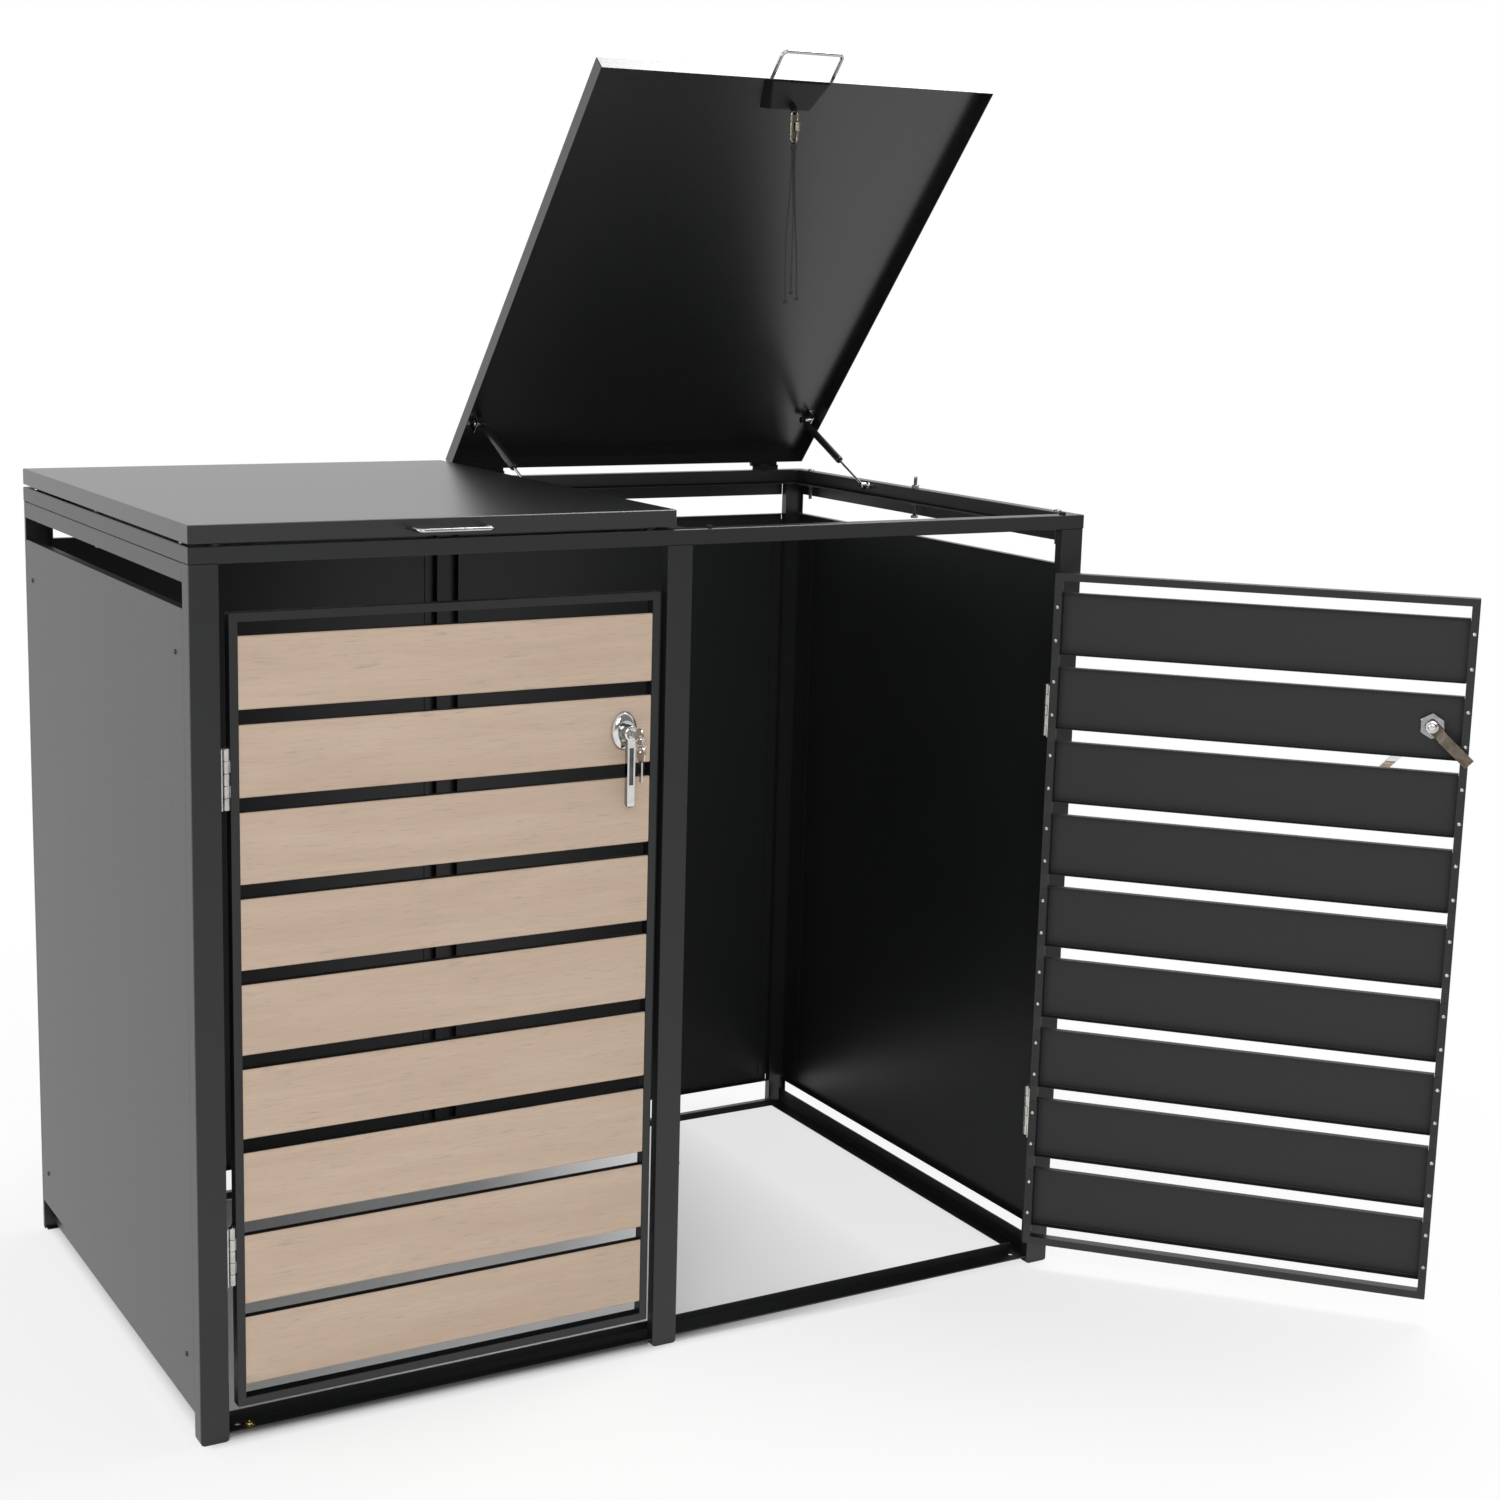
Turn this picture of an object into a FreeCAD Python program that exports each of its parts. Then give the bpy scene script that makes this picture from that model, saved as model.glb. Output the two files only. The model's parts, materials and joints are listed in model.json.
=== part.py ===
import FreeCAD, Part
import os
from math import atan2, cos, degrees, hypot, pi, radians, sin, tan

Vector = FreeCAD.Vector

# Wheelie bin store for two bins: folded sheet steel frame and walls, two top lids on gas struts,
# two slatted doors with turning locks, and a lifting cord under the right lid.
# Millimetres. +X to the right along the front, +Y to the back, +Z up, origin on the floor in the middle.
# Rest pose: left lid and left door closed, right lid and right door open.

# Overall sizes
width = 1330.0
depth = 788.0
post_height = 1125.0

# Sheet thicknesses and the inside radius of their folds
post_sheet = 1.5
wall_sheet = 1.2
board_sheet = 0.8
fold_radius = 0.8
fold_chords = 2
panel_gap = 0.3

# Flat sides that a round piece gets: six up to the first radius, eight up to the second, and so on
round_limits = (3.6, 6.1, 12.0)
round_counts = (6, 8, 12, 16)
edge_break = 0.6

# Posts: folded channels with a rounded foot
post_face = 38.0
front_post_side = 24.0
back_post_side = 9.0
post_inner_leg = 15.0
foot_radius = 5.0
tongue_reach = 40.0
tongue_radius = 6.0
back_tongue_reach = 16.0

# Walls, the ventilation gap under the top frame and the strip above it
wall_bottom = 48.5
vent_height = 32.0
strip_height = 23.0
wall_flange = 12.0
tongue_margin = 10.0
wall_screw_inset = 32.0
back_screw_inset = 9.0
wall_screw_low = 55.0
wall_screw_high = 57.0

# Top frame of square tube
rail_height = 21.0
rail_width = 21.0
rail_wall = 1.5
rail_corner = 2.0
mid_rail_width = 38.0

# Bottom rails of angle profile
bottom_rail_z = 9.5
bottom_rail_sheet = 2.0
front_rail_leg = 35.0
front_rail_upstand = 12.5
side_rail_gap = 15.0
side_rail_leg = 28.0
side_rail_upstand = 24.0
anchor_inset_x = 54.0
anchor_inset_y = 19.0
anchor_radius = 4.0
rail_screw_inset = 68.0
rail_screw_head = 8.0
rail_screw_tip = 5.0

# Frame bolts: M6 through the side rails
bolt_radius = 3.0
bolt_hole_radius = 3.3
bolt_end_inset = 49.0
mid_bolt_offset = 27.0
bolt_drop = 27.0
mid_bolt_rise = 18.0
bolt_tip = 0.5
bolt_head_radius = 6.0
bolt_head_height = 3.2
nut_flat = 10.0
nut_height = 5.0
screw_head_radius = 3.5
screw_head_height = 1.8
screw_head_taper = 0.6
post_dome_top_inset = 353.0
post_dome_bottom_inset = 221.5

# Lids: trays folded from sheet
lid_gap = 4.0
lid_height = 22.5
lid_middle_gap = 14.0
lid_corner = 1.8
lid_opening = 48.9
buffer_radius = 5.0
buffer_edge = 5.5
buffer_inset = 35.0

# Lid hinges behind the back rail
lid_axis_behind = 8.0
lid_axis_rise = 5.0
lid_hinge_inset = 72.0
lid_knuckle_radius = 4.0
lid_pin_radius = 2.0
lid_leaf_sheet = 1.8
lid_leaf_width = 50.0
lid_knuckle_length = 16.0
lid_frame_leaf_drop = 25.0
lid_leaf_rise = 15.0
lid_hinge_screw_spread = 17.0
hinge_screw_radius = 2.6
hinge_screw_height = 1.1
pin_clearance = 0.05
knuckle_gap = 0.4

# Lid handles: bent round bar
handle_bar_radius = 2.5
handle_width = 100.0
handle_reach = 40.0
handle_bend = 8.0
handle_drop = 11.5
handle_chords = 3

# Bracket under each lid, with an eye for the lifting link
bracket_front_width = 115.0
bracket_back_width = 85.0
bracket_depth = 66.0
bracket_height = 13.5
bracket_slope = 9.0
bracket_sheet = 1.5
eye_sheet = 1.6
eye_radius = 6.0
eye_hole_radius = 3.0
eye_drop = 11.8

# Lifting link, cord ties and cords
link_wire_radius = 2.0
link_length = 47.0
link_width = 14.0
link_chords = 6
sleeve_flat = 8.0
sleeve_length = 13.0
cord_radius = 1.2
cord_bend_share = 0.45
tie_ring_clearance = 0.3
tie_radius = 5.0
tie_flat = 2.6
tie_top = 4.3
tie_ring_sides = 8
knot_radius = 3.4
knot_flat = 2.8
strand_pitch = 2.6

# Gas struts
strut_inset = 33.0
strut_frame_reach = 256.0
strut_frame_drop = 6.5
strut_lid_reach = 99.0
strut_lid_rise = 10.0
strut_tube_radius = 6.0
strut_rod_show = 23.3
strut_tube_edge = 1.5
strut_neck_radius = 3.0
strut_neck_length = 16.0
strut_rod_radius = 2.0
strut_rod_spare = 9.3
strut_solid_end = 43.0
strut_eye_radius = 5.5
strut_eye_half = 4.0
ball_radius = 4.0
ball_flat_share = 0.7
ball_clearance = 0.05
stud_radius = 2.5
open_pivot_clearance = 0.4
strut_bracket_offset = 12.0
strut_bracket_width = 24.0
strut_bracket_foot = 13.0
strut_bracket_drop = 8.0
spacer_radius = 5.0
spacer_length = 9.0

# Doors: rectangular tube frames
door_front_inset = 6.0
door_tube_x = 11.0
door_tube_y = 16.0
door_tube_wall = 1.2
door_tube_corner = 1.5
door_hinge_clearance = 13.0
door_lock_clearance = 6.5
door_bottom = 40.5
door_top_gap = 61.0
door_opening = 133.0
drain_radius = 2.5
drain_inset = 60.0

# Boards: folded trays between the door's uprights
board_height = 91.0
board_gap = 18.5
board_front_inset = 0.8
board_flange = 12.0
board_tab = 9.0
board_relief = 2.0
board_screw_edge = 21.0
fixing_radius = 3.0
fixing_height = 2.0

# Door hinges
door_axis_offset = 7.5
door_axis_inset = 6.5
door_knuckle_radius = 4.5
door_pin_radius = 2.5
door_leaf_sheet = 1.8
door_hinge_length = 77.0
door_knuckle_count = 5
door_hinge_top_inset = 203.5
door_hinge_bottom_inset = 205.3
post_leaf_depth = 12.5
post_leaf_front = 1.5
door_leaf_depth = 11.3
hinge_screw_spread = 27.0

# Locks
lock_inset = 51.5
plate_width = 38.0
plate_height = 52.0
plate_depth = 8.0
plate_sides = 16
barrel_radius = 8.0
spindle_radius = 5.0
lock_nut_flat = 32.0
lock_nut_height = 6.5
hub_radius = 10.5
hub_length = 17.0
hub_edge = 2.5
lever_length = 100.0
lever_width = 12.0
lever_tip_width = 10.5
lever_depth = 8.0
lever_edge = 1.4
lever_tip_chords = 6
inlay_width = 5.0
inlay_length = 48.0
inlay_depth = 1.0
inlay_start = 22.0
cam_width = 16.0
cam_reach = 72.0
cam_sheet = 2.4
cam_corner = 2.5
cam_crank_start = 14.0
cam_crank_end = 24.0
cam_clearance = 1.0
cam_bolt_radius = 5.5
cam_bolt_height = 4.0
cam_angle = 42.0
lever_angles = {"left": 0.0, "right": cam_angle}

# Keys on the left lock
key_sheet = 2.2
key_bow_radius = 11.0
key_bow_hole = 3.4
key_stem = 9.0
key_blade_width = 7.5
key_blade_length = 26.0
ring_radius = 8.5
ring_wire = 0.8
ring_sides = 12

# Places that follow from the sizes above
half_width = width / 2
front = -depth / 2
back = depth / 2
rail_top = post_height + rail_height
vent_top = post_height - strip_height
vent_bottom = vent_top - vent_height
side_rail_outer = half_width - side_rail_gap
anchor_x = half_width - anchor_inset_x
anchor_y = back - anchor_inset_y
rail_screw_x = rail_screw_inset - half_width
bolt_places = (front + bolt_end_inset, mid_bolt_offset, back - bolt_end_inset)
bolt_bottom = post_height - bolt_drop
mid_bolt_top = rail_top + mid_bolt_rise
lid_bottom = rail_top + lid_gap
lid_top = lid_bottom + lid_height
lid_under = lid_top - wall_sheet
lid_inner_x = lid_middle_gap / 2
lid_centre_x = (lid_inner_x + half_width) / 2
lid_axis_y = back + lid_axis_behind
lid_axis_z = lid_bottom + lid_axis_rise
strut_frame_y = lid_axis_y - strut_frame_reach
strut_frame_z = rail_top - strut_frame_drop
strut_lid_y = lid_axis_y - strut_lid_reach
strut_lid_z = lid_bottom + strut_lid_rise
post_inner_x = half_width - post_face
mid_post_x = post_face / 2
door_top = post_height - door_top_gap
door_hinge_heights = (door_top - door_hinge_top_inset, door_bottom + door_hinge_bottom_inset)
post_dome_heights = (door_top - post_dome_top_inset, door_bottom + post_dome_bottom_inset)
door_front = front + door_front_inset
door_back = door_front + door_tube_y
door_hinge_x = post_inner_x - door_hinge_clearance
door_lock_x = mid_post_x + door_lock_clearance
door_axis_x = post_inner_x - door_axis_offset
door_axis_y = front + door_axis_inset
board_front = door_front + board_front_inset
board_pitch = board_height + board_gap
door_clear_height = door_top - door_bottom - 2 * door_tube_x
board_count = int((door_clear_height + board_gap) / board_pitch)
board_stack = board_count * board_pitch - board_gap
board_top = door_top - door_tube_x - (door_clear_height - board_stack) / 2
lock_x = -(door_lock_x + lock_inset)
lock_z = board_top - board_pitch - board_height / 2
os.makedirs("parts", exist_ok=True)


def box(low, high):
    size = [b - a for a, b in zip(low, high)]
    return Part.makeBox(size[0], size[1], size[2], Vector(*low))


def fused(shapes):
    whole = shapes[0]
    for shape in shapes[1:]:
        whole = whole.fuse(shape)
    return whole.removeSplitter()


def unit(vector):
    return Vector(vector) * (1 / vector.Length)


def sides_for(radius):
    return round_counts[sum(radius > limit for limit in round_limits)]


# A ring of corners round a point, a flat side facing each of the crossing axes
def ring(centre, axis, radius, sides):
    along = unit(Vector(*axis))
    across = Vector(0, 1, 0) if abs(along.z) > 0.9 else Vector(0, 0, 1)
    first = unit(along.cross(across))
    second = along.cross(first)
    turns = [2 * pi * (number + 0.5) / sides for number in range(sides)]
    return [Vector(*centre) + first * (radius * cos(turn)) + second * (radius * sin(turn)) for turn in turns]


def flat_face(corners):
    return Part.Face(Part.makePolygon(corners + corners[:1]))


# A closed skin over rings that have the same number of corners
def skinned(rings, endless=False):
    pairs = list(zip(rings, rings[1:]))
    if endless:
        pairs.append((rings[-1], rings[0]))
    faces = []
    for near, far in pairs:
        for number in range(len(near)):
            corners = [near[number - 1], near[number], far[number], far[number - 1]]
            lift = (corners[1] - corners[0]).cross(corners[2] - corners[0]).dot(corners[3] - corners[0])
            if abs(lift) < 1e-6:
                faces.append(flat_face(corners))
            else:
                faces.append(flat_face(corners[:3]))
                faces.append(flat_face([corners[0], corners[2], corners[3]]))
    if not endless:
        faces += [flat_face(rings[0][::-1]), flat_face(rings[-1])]
    shell = Part.makeShell(faces)
    shell.sewShape()
    solid = Part.makeSolid(shell)
    if solid.Volume < 0:
        solid.reverse()
    return solid


def round_stack(base, axis, steps):
    along = unit(Vector(*axis))
    sides = sides_for(max(radius for _, radius in steps))
    return skinned([ring(Vector(*base) + along * reach, axis, radius, sides) for reach, radius in steps])


def cylinder(base, axis, radius, length):
    return round_stack(base, axis, [(0, radius), (length, radius)])


def cone(base, axis, radius, end_radius, length):
    return round_stack(base, axis, [(0, radius), (length, end_radius)])


# A ball with flat ends: the levels are heights above its middle
def ball(centre, axis, radius, levels):
    return round_stack(centre, axis, [(level, (radius ** 2 - level ** 2) ** 0.5) for level in levels])


# A round bar along a line of points, mitred at each
def bent_bar(points, radius, endless=False):
    ways = [unit(b - a) for a, b in zip(points, points[1:] + points[:1])]
    corners = ring(points[0], ways[0], radius, sides_for(radius))

    def carried(from_ring, way, place, facing):
        return [corner + way * ((place - corner).dot(facing) / way.dot(facing)) for corner in from_ring]

    rings = [carried(corners, ways[0], points[0], ways[-1] + ways[0])] if endless else [corners]
    for number in range(1, len(points)):
        way = ways[number - 1]
        last = number == len(points) - 1 and not endless
        rings.append(carried(rings[-1], way, points[number], way if last else way + ways[number]))
    return skinned(rings, endless)


# Straight runs joined by tangent arcs; a radius of zero leaves the corner sharp
def runs_and_arcs(points, radii):
    edges = []
    start = points[0]
    for before, corner, after, radius in zip(points, points[1:], points[2:], radii):
        arriving = unit(before - corner)
        leaving = unit(after - corner)
        half = arriving.getAngle(leaving) / 2
        first = corner + arriving * (radius / tan(half))
        last = corner + leaving * (radius / tan(half))
        middle = corner + unit(arriving + leaving) * (radius / sin(half) - radius)
        edges.append(Part.LineSegment(start, first).toShape())
        edges.append(Part.Arc(first, middle, last).toShape())
        start = last
    edges.append(Part.LineSegment(start, points[-1]).toShape())
    return edges


# The same line with a few straight chords in place of each arc
def runs_and_chords(points, radii, chords=fold_chords):
    line = [points[0]]
    for before, corner, after, radius in zip(points, points[1:], points[2:], radii):
        arriving = unit(before - corner)
        leaving = unit(after - corner)
        half = arriving.getAngle(leaving) / 2
        centre = corner + unit(arriving + leaving) * (radius / sin(half))
        first = corner + arriving * (radius / tan(half)) - centre
        last = corner + leaving * (radius / tan(half)) - centre
        sweep = first.getAngle(last)
        for step in range(chords + 1):
            share = step / chords
            turned_part = first * sin((1 - share) * sweep) + last * sin(share * sweep)
            line.append(centre + turned_part * (1 / sin(sweep)))
    return line + [points[-1]]


def in_space(u, v, w, axis):
    return {"x": Vector(w, u, v), "y": Vector(u, w, v), "z": Vector(u, v, w)}[axis]


# A sheet folded along an outline: the outline is its outer face and the sheet lies to its left
def folded_sheet(outline, sheet, axis, start, end, fold=fold_radius, chords=fold_chords):
    directions = [unit(Vector(b[0] - a[0], b[1] - a[1], 0)) for a, b in zip(outline, outline[1:])]
    normals = [Vector(-d.y, d.x, 0) for d in directions]
    outer = [Vector(u, v, 0) for u, v in outline]
    inner = [outer[0] + normals[0] * sheet]
    outer_radii = []
    inner_radii = []
    for index in range(1, len(outline) - 1):
        first = normals[index - 1]
        second = normals[index]
        inner.append(outer[index] + (first + second) * (sheet / (1 + first.dot(second))))
        turns_left = directions[index - 1].cross(directions[index]).z > 0
        outer_radii.append(fold + sheet if turns_left else fold)
        inner_radii.append(fold if turns_left else fold + sheet)
    inner.append(outer[-1] + normals[-1] * sheet)
    outer = [in_space(p.x, p.y, start, axis) for p in outer]
    inner = [in_space(p.x, p.y, start, axis) for p in inner]
    outline = runs_and_chords(outer, outer_radii, chords) + runs_and_chords(inner, inner_radii, chords)[::-1]
    return flat_face(outline).extrude(in_space(0, 0, end - start, axis))


def edges_along(shape, axis):
    def runs_along(edge):
        ends = [vertex.Point for vertex in edge.Vertexes]
        return len(ends) == 2 and abs(unit(ends[1] - ends[0]).dot(Vector(*axis))) > 0.999
    return [edge for edge in shape.Edges if runs_along(edge)]


def rounded_bar(low, high, axis, radius):
    bar = box(low, high)
    return bar.makeChamfer(radius * edge_break, edges_along(bar, axis))


# Hollow tube with rounded outer corners, open at both ends along its axis
def square_tube(low, high, axis, wall, radius):
    inner_low = [a - 1 if along else a + wall for a, along in zip(low, axis)]
    inner_high = [b + 1 if along else b - wall for b, along in zip(high, axis)]
    return rounded_bar(low, high, axis, radius).cut(box(inner_low, inner_high))


def prism(points, axis, start, end):
    return flat_face([in_space(u, v, start, axis) for u, v in points]).extrude(in_space(0, 0, end - start, axis))


# A hole whose flat sides lie at the radius, so that a round piece of that radius still turns in it
def drilled(shape, centre, axis, radius, length):
    base = Vector(*centre) - Vector(*axis) * (length / 2)
    return shape.cut(cylinder(base, axis, radius / cos(pi / sides_for(radius)), length))


def bored(shape, centre, radius, length):
    base = Vector(*centre) - Vector(0, 0, length / 2)
    return shape.cut(Part.makeCylinder(radius, length, base))


def hexagon(base, axis, across_flats, height):
    radius = across_flats / 2 / cos(pi / 6)
    corners = [Vector(radius * cos(k * pi / 3), radius * sin(k * pi / 3), 0) for k in range(6)]
    nut = flat_face(corners).extrude(Vector(0, 0, height))
    nut.Placement = FreeCAD.Placement(Vector(*base), FreeCAD.Rotation(Vector(0, 0, 1), Vector(*axis)))
    return nut


def mirrored(shape, plane_x=0.0):
    return shape.mirror(Vector(plane_x, 0, 0), Vector(1, 0, 0))


def back_to_front(shape):
    return shape.mirror(Vector(0, 0, 0), Vector(0, 1, 0))


def turned(shape, centre, axis, angle):
    copy = shape.copy()
    copy.rotate(Vector(*centre), Vector(*axis), angle)
    return copy


# A flat-headed screw or a low dome: the head stands on the base, the shank goes the other way
def screw(base, out, head_radius, head_height, shank_radius=0.0, shank_length=0.0):
    head = cone(base, out, head_radius, head_radius * screw_head_taper, head_height)
    if shank_length == 0.0:
        return head
    return fused([head, cylinder(base, [-a for a in out], shank_radius, shank_length)])


def write(node, *shapes):
    solids = [solid for shape in shapes for solid in shape.Solids]
    result = solids[0] if len(solids) == 1 else Part.makeCompound(solids)
    result.exportStep("parts/" + node + ".step")


# Posts
def rounded_foot(left, right):
    corners = [Vector(left, front - 1, post_height), Vector(left, front - 1, 0),
               Vector(right, front - 1, 0), Vector(right, front - 1, post_height)]
    return flat_face(runs_and_chords(corners, [foot_radius, foot_radius])).extrude(Vector(0, depth + 2, 0))


def post(left, right, left_leg, right_leg):
    outline = [(left, front + left_leg), (left, front), (right, front), (right, front + right_leg)]
    channel = folded_sheet(outline, post_sheet, "z", 0, post_height).common(rounded_foot(left, right))
    foot = box((left + foot_radius, front + post_sheet / 2, 0),
               (right - foot_radius, front + min(left_leg, right_leg), post_sheet))
    return fused([channel, foot])


# The tongue behind a wall's edge, which the wall is screwed to
def side_tongue(side_leg, reach):
    outside = -half_width + post_sheet
    start = front + side_leg / 2
    end = front + side_leg + reach
    low = wall_bottom + tongue_margin
    high = vent_bottom - tongue_margin
    plate = box((outside, start, low), (outside + wall_sheet, end, high))
    far_edges = [edge for edge in edges_along(plate, (1, 0, 0)) if edge.CenterOfMass.y > end - 1]
    return plate.makeChamfer(tongue_radius * edge_break, far_edges)


def back_tongue(inner_face, direction):
    near = inner_face - direction * post_sheet / 2
    far = inner_face + direction * back_tongue_reach
    outside = front + wall_sheet + panel_gap
    return box((min(near, far), outside, wall_bottom + tongue_margin),
               (max(near, far), outside + wall_sheet, vent_bottom - tongue_margin))


def side_screw_places(side_leg):
    y = front + side_leg + wall_screw_inset
    return [(y, wall_bottom + wall_screw_low), (y, vent_bottom - wall_screw_high)]


def back_screw_places(inner_face, direction):
    x = inner_face + direction * back_screw_inset
    return [(x, wall_bottom + wall_screw_low), (x, vent_bottom - wall_screw_high)]


def corner_post(side_leg, reach, has_back_wall):
    pieces = [post(-half_width, -post_inner_x, side_leg, post_inner_leg), side_tongue(side_leg, reach)]
    if has_back_wall:
        pieces.append(back_tongue(-post_inner_x, 1))
    return fused(pieces)


def middle_back_post():
    body = post(-mid_post_x, mid_post_x, post_inner_leg, post_inner_leg)
    return back_to_front(fused([body, back_tongue(-mid_post_x, -1), back_tongue(mid_post_x, 1)]))


front_left_post = corner_post(front_post_side, tongue_reach, False)
back_left_post = back_to_front(corner_post(back_post_side, tongue_reach, True))
write("front_left_post", front_left_post)
write("front_right_post", mirrored(front_left_post))
write("front_middle_post", post(-mid_post_x, mid_post_x, post_inner_leg, post_inner_leg))
write("back_corner_posts", back_left_post, mirrored(back_left_post))
write("back_middle_post", middle_back_post())


# Side walls, with folded edges top and bottom, and the strip above the ventilation gap
side_wall_front = front + front_post_side + panel_gap
side_wall_back = back - back_post_side - panel_gap


def side_wall():
    outline = [(-half_width + wall_flange, vent_bottom), (-half_width, vent_bottom),
               (-half_width, wall_bottom), (-half_width + wall_flange, wall_bottom)]
    return folded_sheet(outline, wall_sheet, "y", side_wall_front, side_wall_back)


def side_strip():
    flange_back = back - post_inner_leg - panel_gap
    strip = folded_sheet([(-half_width + post_face, post_height), (-half_width, post_height),
                          (-half_width, vent_top)], wall_sheet, "y", side_wall_front, flange_back)
    end = box((-half_width, flange_back, vent_top), (-half_width + wall_sheet, side_wall_back, post_height))
    strip = fused([strip, end])
    for y in bolt_places:
        centre = (-half_width + rail_width / 2, y, post_height)
        strip = drilled(strip, centre, (0, 0, 1), bolt_hole_radius, rail_height)
    return strip


left_wall = side_wall()
left_strip = side_strip()
write("left_wall", left_wall)
write("right_wall", mirrored(left_wall))


# Back walls: one panel and one strip on each side of the middle post
back_wall_left = -post_inner_x + panel_gap
back_wall_right = -mid_post_x - panel_gap


def back_wall():
    outline = [(back - wall_flange, wall_bottom), (back, wall_bottom), (back, vent_bottom),
               (back - wall_flange, vent_bottom)]
    return folded_sheet(outline, wall_sheet, "x", back_wall_left, back_wall_right)


left_back_wall = back_wall()
left_back_strip = folded_sheet([(back, vent_top), (back, post_height), (back - post_face, post_height)],
                               wall_sheet, "x", back_wall_left, back_wall_right)
write("back_walls", left_back_wall, mirrored(left_back_wall))
write("top_strips", left_strip, mirrored(left_strip), left_back_strip, mirrored(left_back_strip))


# Top frame: square tube mitred at the corners, and a wider rail across the middle
def front_mitre():
    inner = half_width - rail_width
    return prism([(-half_width, front), (half_width, front), (inner, front + rail_width),
                  (-inner, front + rail_width)], "z", post_height - 1, rail_top + 1)


def side_mitre():
    inner = half_width - rail_width
    return prism([(-half_width, front), (-inner, front + rail_width), (-inner, back - rail_width),
                  (-half_width, back)], "z", post_height - 1, rail_top + 1)


front_rail = square_tube((-half_width, front, post_height), (half_width, front + rail_width, rail_top),
                         (1, 0, 0), rail_wall, rail_corner).common(front_mitre())
side_rail = square_tube((-half_width, front, post_height), (-half_width + rail_width, back, rail_top),
                        (0, 1, 0), rail_wall, rail_corner).common(side_mitre())
for bolt_y in bolt_places:
    bolt_centre = (-half_width + rail_width / 2, bolt_y, post_height + rail_height / 2)
    side_rail = drilled(side_rail, bolt_centre, (0, 0, 1), bolt_hole_radius, rail_height + 4)
write("top_front_rail", front_rail)
write("top_back_rail", back_to_front(front_rail))
write("top_side_rails", side_rail, mirrored(side_rail))
write("top_middle_rail", square_tube((-mid_rail_width / 2, front + rail_width, post_height),
                                     (mid_rail_width / 2, back - rail_width, rail_top),
                                     (0, 1, 0), rail_wall, rail_corner))


# Bottom rails: angle profiles with anchor holes
def bottom_front():
    leg_front = front + post_sheet + panel_gap
    leg_back = leg_front + front_rail_leg
    low = bottom_rail_z
    angle = folded_sheet([(leg_front, low), (leg_back, low), (leg_back, low + front_rail_upstand)],
                         bottom_rail_sheet, "x", -post_inner_x, post_inner_x)
    post_back = front + post_inner_leg + panel_gap
    high = low + front_rail_upstand + 1
    notches = [box((-mid_post_x - panel_gap, front, 0), (mid_post_x + panel_gap, post_back, high))]
    side_rail_inner = side_rail_outer - side_rail_leg - panel_gap
    for side in (-1, 1):
        ends = sorted((side * side_rail_inner, side * half_width))
        notches.append(box((ends[0], post_back - 2 * panel_gap, 0), (ends[1], leg_back + 1, high)))
    for notch in notches:
        angle = angle.cut(notch)
    for side in (-1, 1):
        angle = bored(angle, (side * anchor_x, -anchor_y, low), anchor_radius, front_rail_leg)
    return angle


def bottom_side():
    low = bottom_rail_z
    end = depth / 2 - post_inner_leg
    outline = [(-side_rail_outer, low + side_rail_upstand), (-side_rail_outer, low),
               (-side_rail_outer + side_rail_leg, low)]
    return folded_sheet(outline, bottom_rail_sheet, "y", -end, end)


front_angle = bottom_front()
side_angle = bottom_side()
rail_screw_y = front + post_sheet + front_rail_leg / 3
rail_screw_centre = (rail_screw_x, rail_screw_y, bottom_rail_z)
write("bottom_front_rail", drilled(front_angle, rail_screw_centre, (0, 0, 1), bolt_hole_radius, front_rail_leg))
write("bottom_back_rail", back_to_front(front_angle))
write("bottom_side_rails", side_angle, mirrored(side_angle))
write("rail_screw", screw((rail_screw_x, rail_screw_y, bottom_rail_z + bottom_rail_sheet), (0, 0, 1),
                          rail_screw_head, bolt_head_height, bolt_radius, bottom_rail_sheet + rail_screw_tip))


# Bolts, nuts and screws of the frame
def side_bolt(y, up):
    x = -half_width + rail_width / 2
    flange_under = post_height - wall_sheet
    if up:
        shank = cylinder((x, y, bolt_bottom + bolt_head_height), (0, 0, 1), bolt_radius,
                         mid_bolt_top - bolt_bottom - bolt_head_height)
        head = hexagon((x, y, bolt_bottom), (0, 0, 1), nut_flat, bolt_head_height + 1)
        nuts = [hexagon((x, y, rail_top), (0, 0, 1), nut_flat, nut_height),
                hexagon((x, y, flange_under - nut_height), (0, 0, 1), nut_flat, nut_height)]
    else:
        shank = cylinder((x, y, bolt_bottom), (0, 0, 1), bolt_radius, rail_top - bolt_bottom + bolt_tip)
        head = cone((x, y, rail_top), (0, 0, 1), bolt_head_radius, bolt_head_radius * screw_head_taper,
                    bolt_head_height)
        nuts = [hexagon((x, y, flange_under - nut_height), (0, 0, 1), nut_flat, nut_height)]
    return fused([shank, head] + nuts)


def frame_fasteners():
    left = [side_bolt(y, y == bolt_places[1]) for y in bolt_places]
    for side_leg, direction in ((front_post_side, 1), (back_post_side, -1)):
        for y, z in side_screw_places(side_leg):
            left.append(screw((-half_width, direction * y, z), (-1, 0, 0), screw_head_radius, screw_head_height))
    for x, z in back_screw_places(-post_inner_x, 1) + back_screw_places(-mid_post_x, -1):
        left.append(screw((x, back, z), (0, 1, 0), screw_head_radius, screw_head_height))
    dome_y = front + post_inner_leg / 2
    domes = [screw((mid_post_x, dome_y, z), (1, 0, 0), screw_head_radius, screw_head_height)
             for z in post_dome_heights]
    return left + [mirrored(piece) for piece in left] + domes


write("frame_fasteners", *frame_fasteners())


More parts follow.
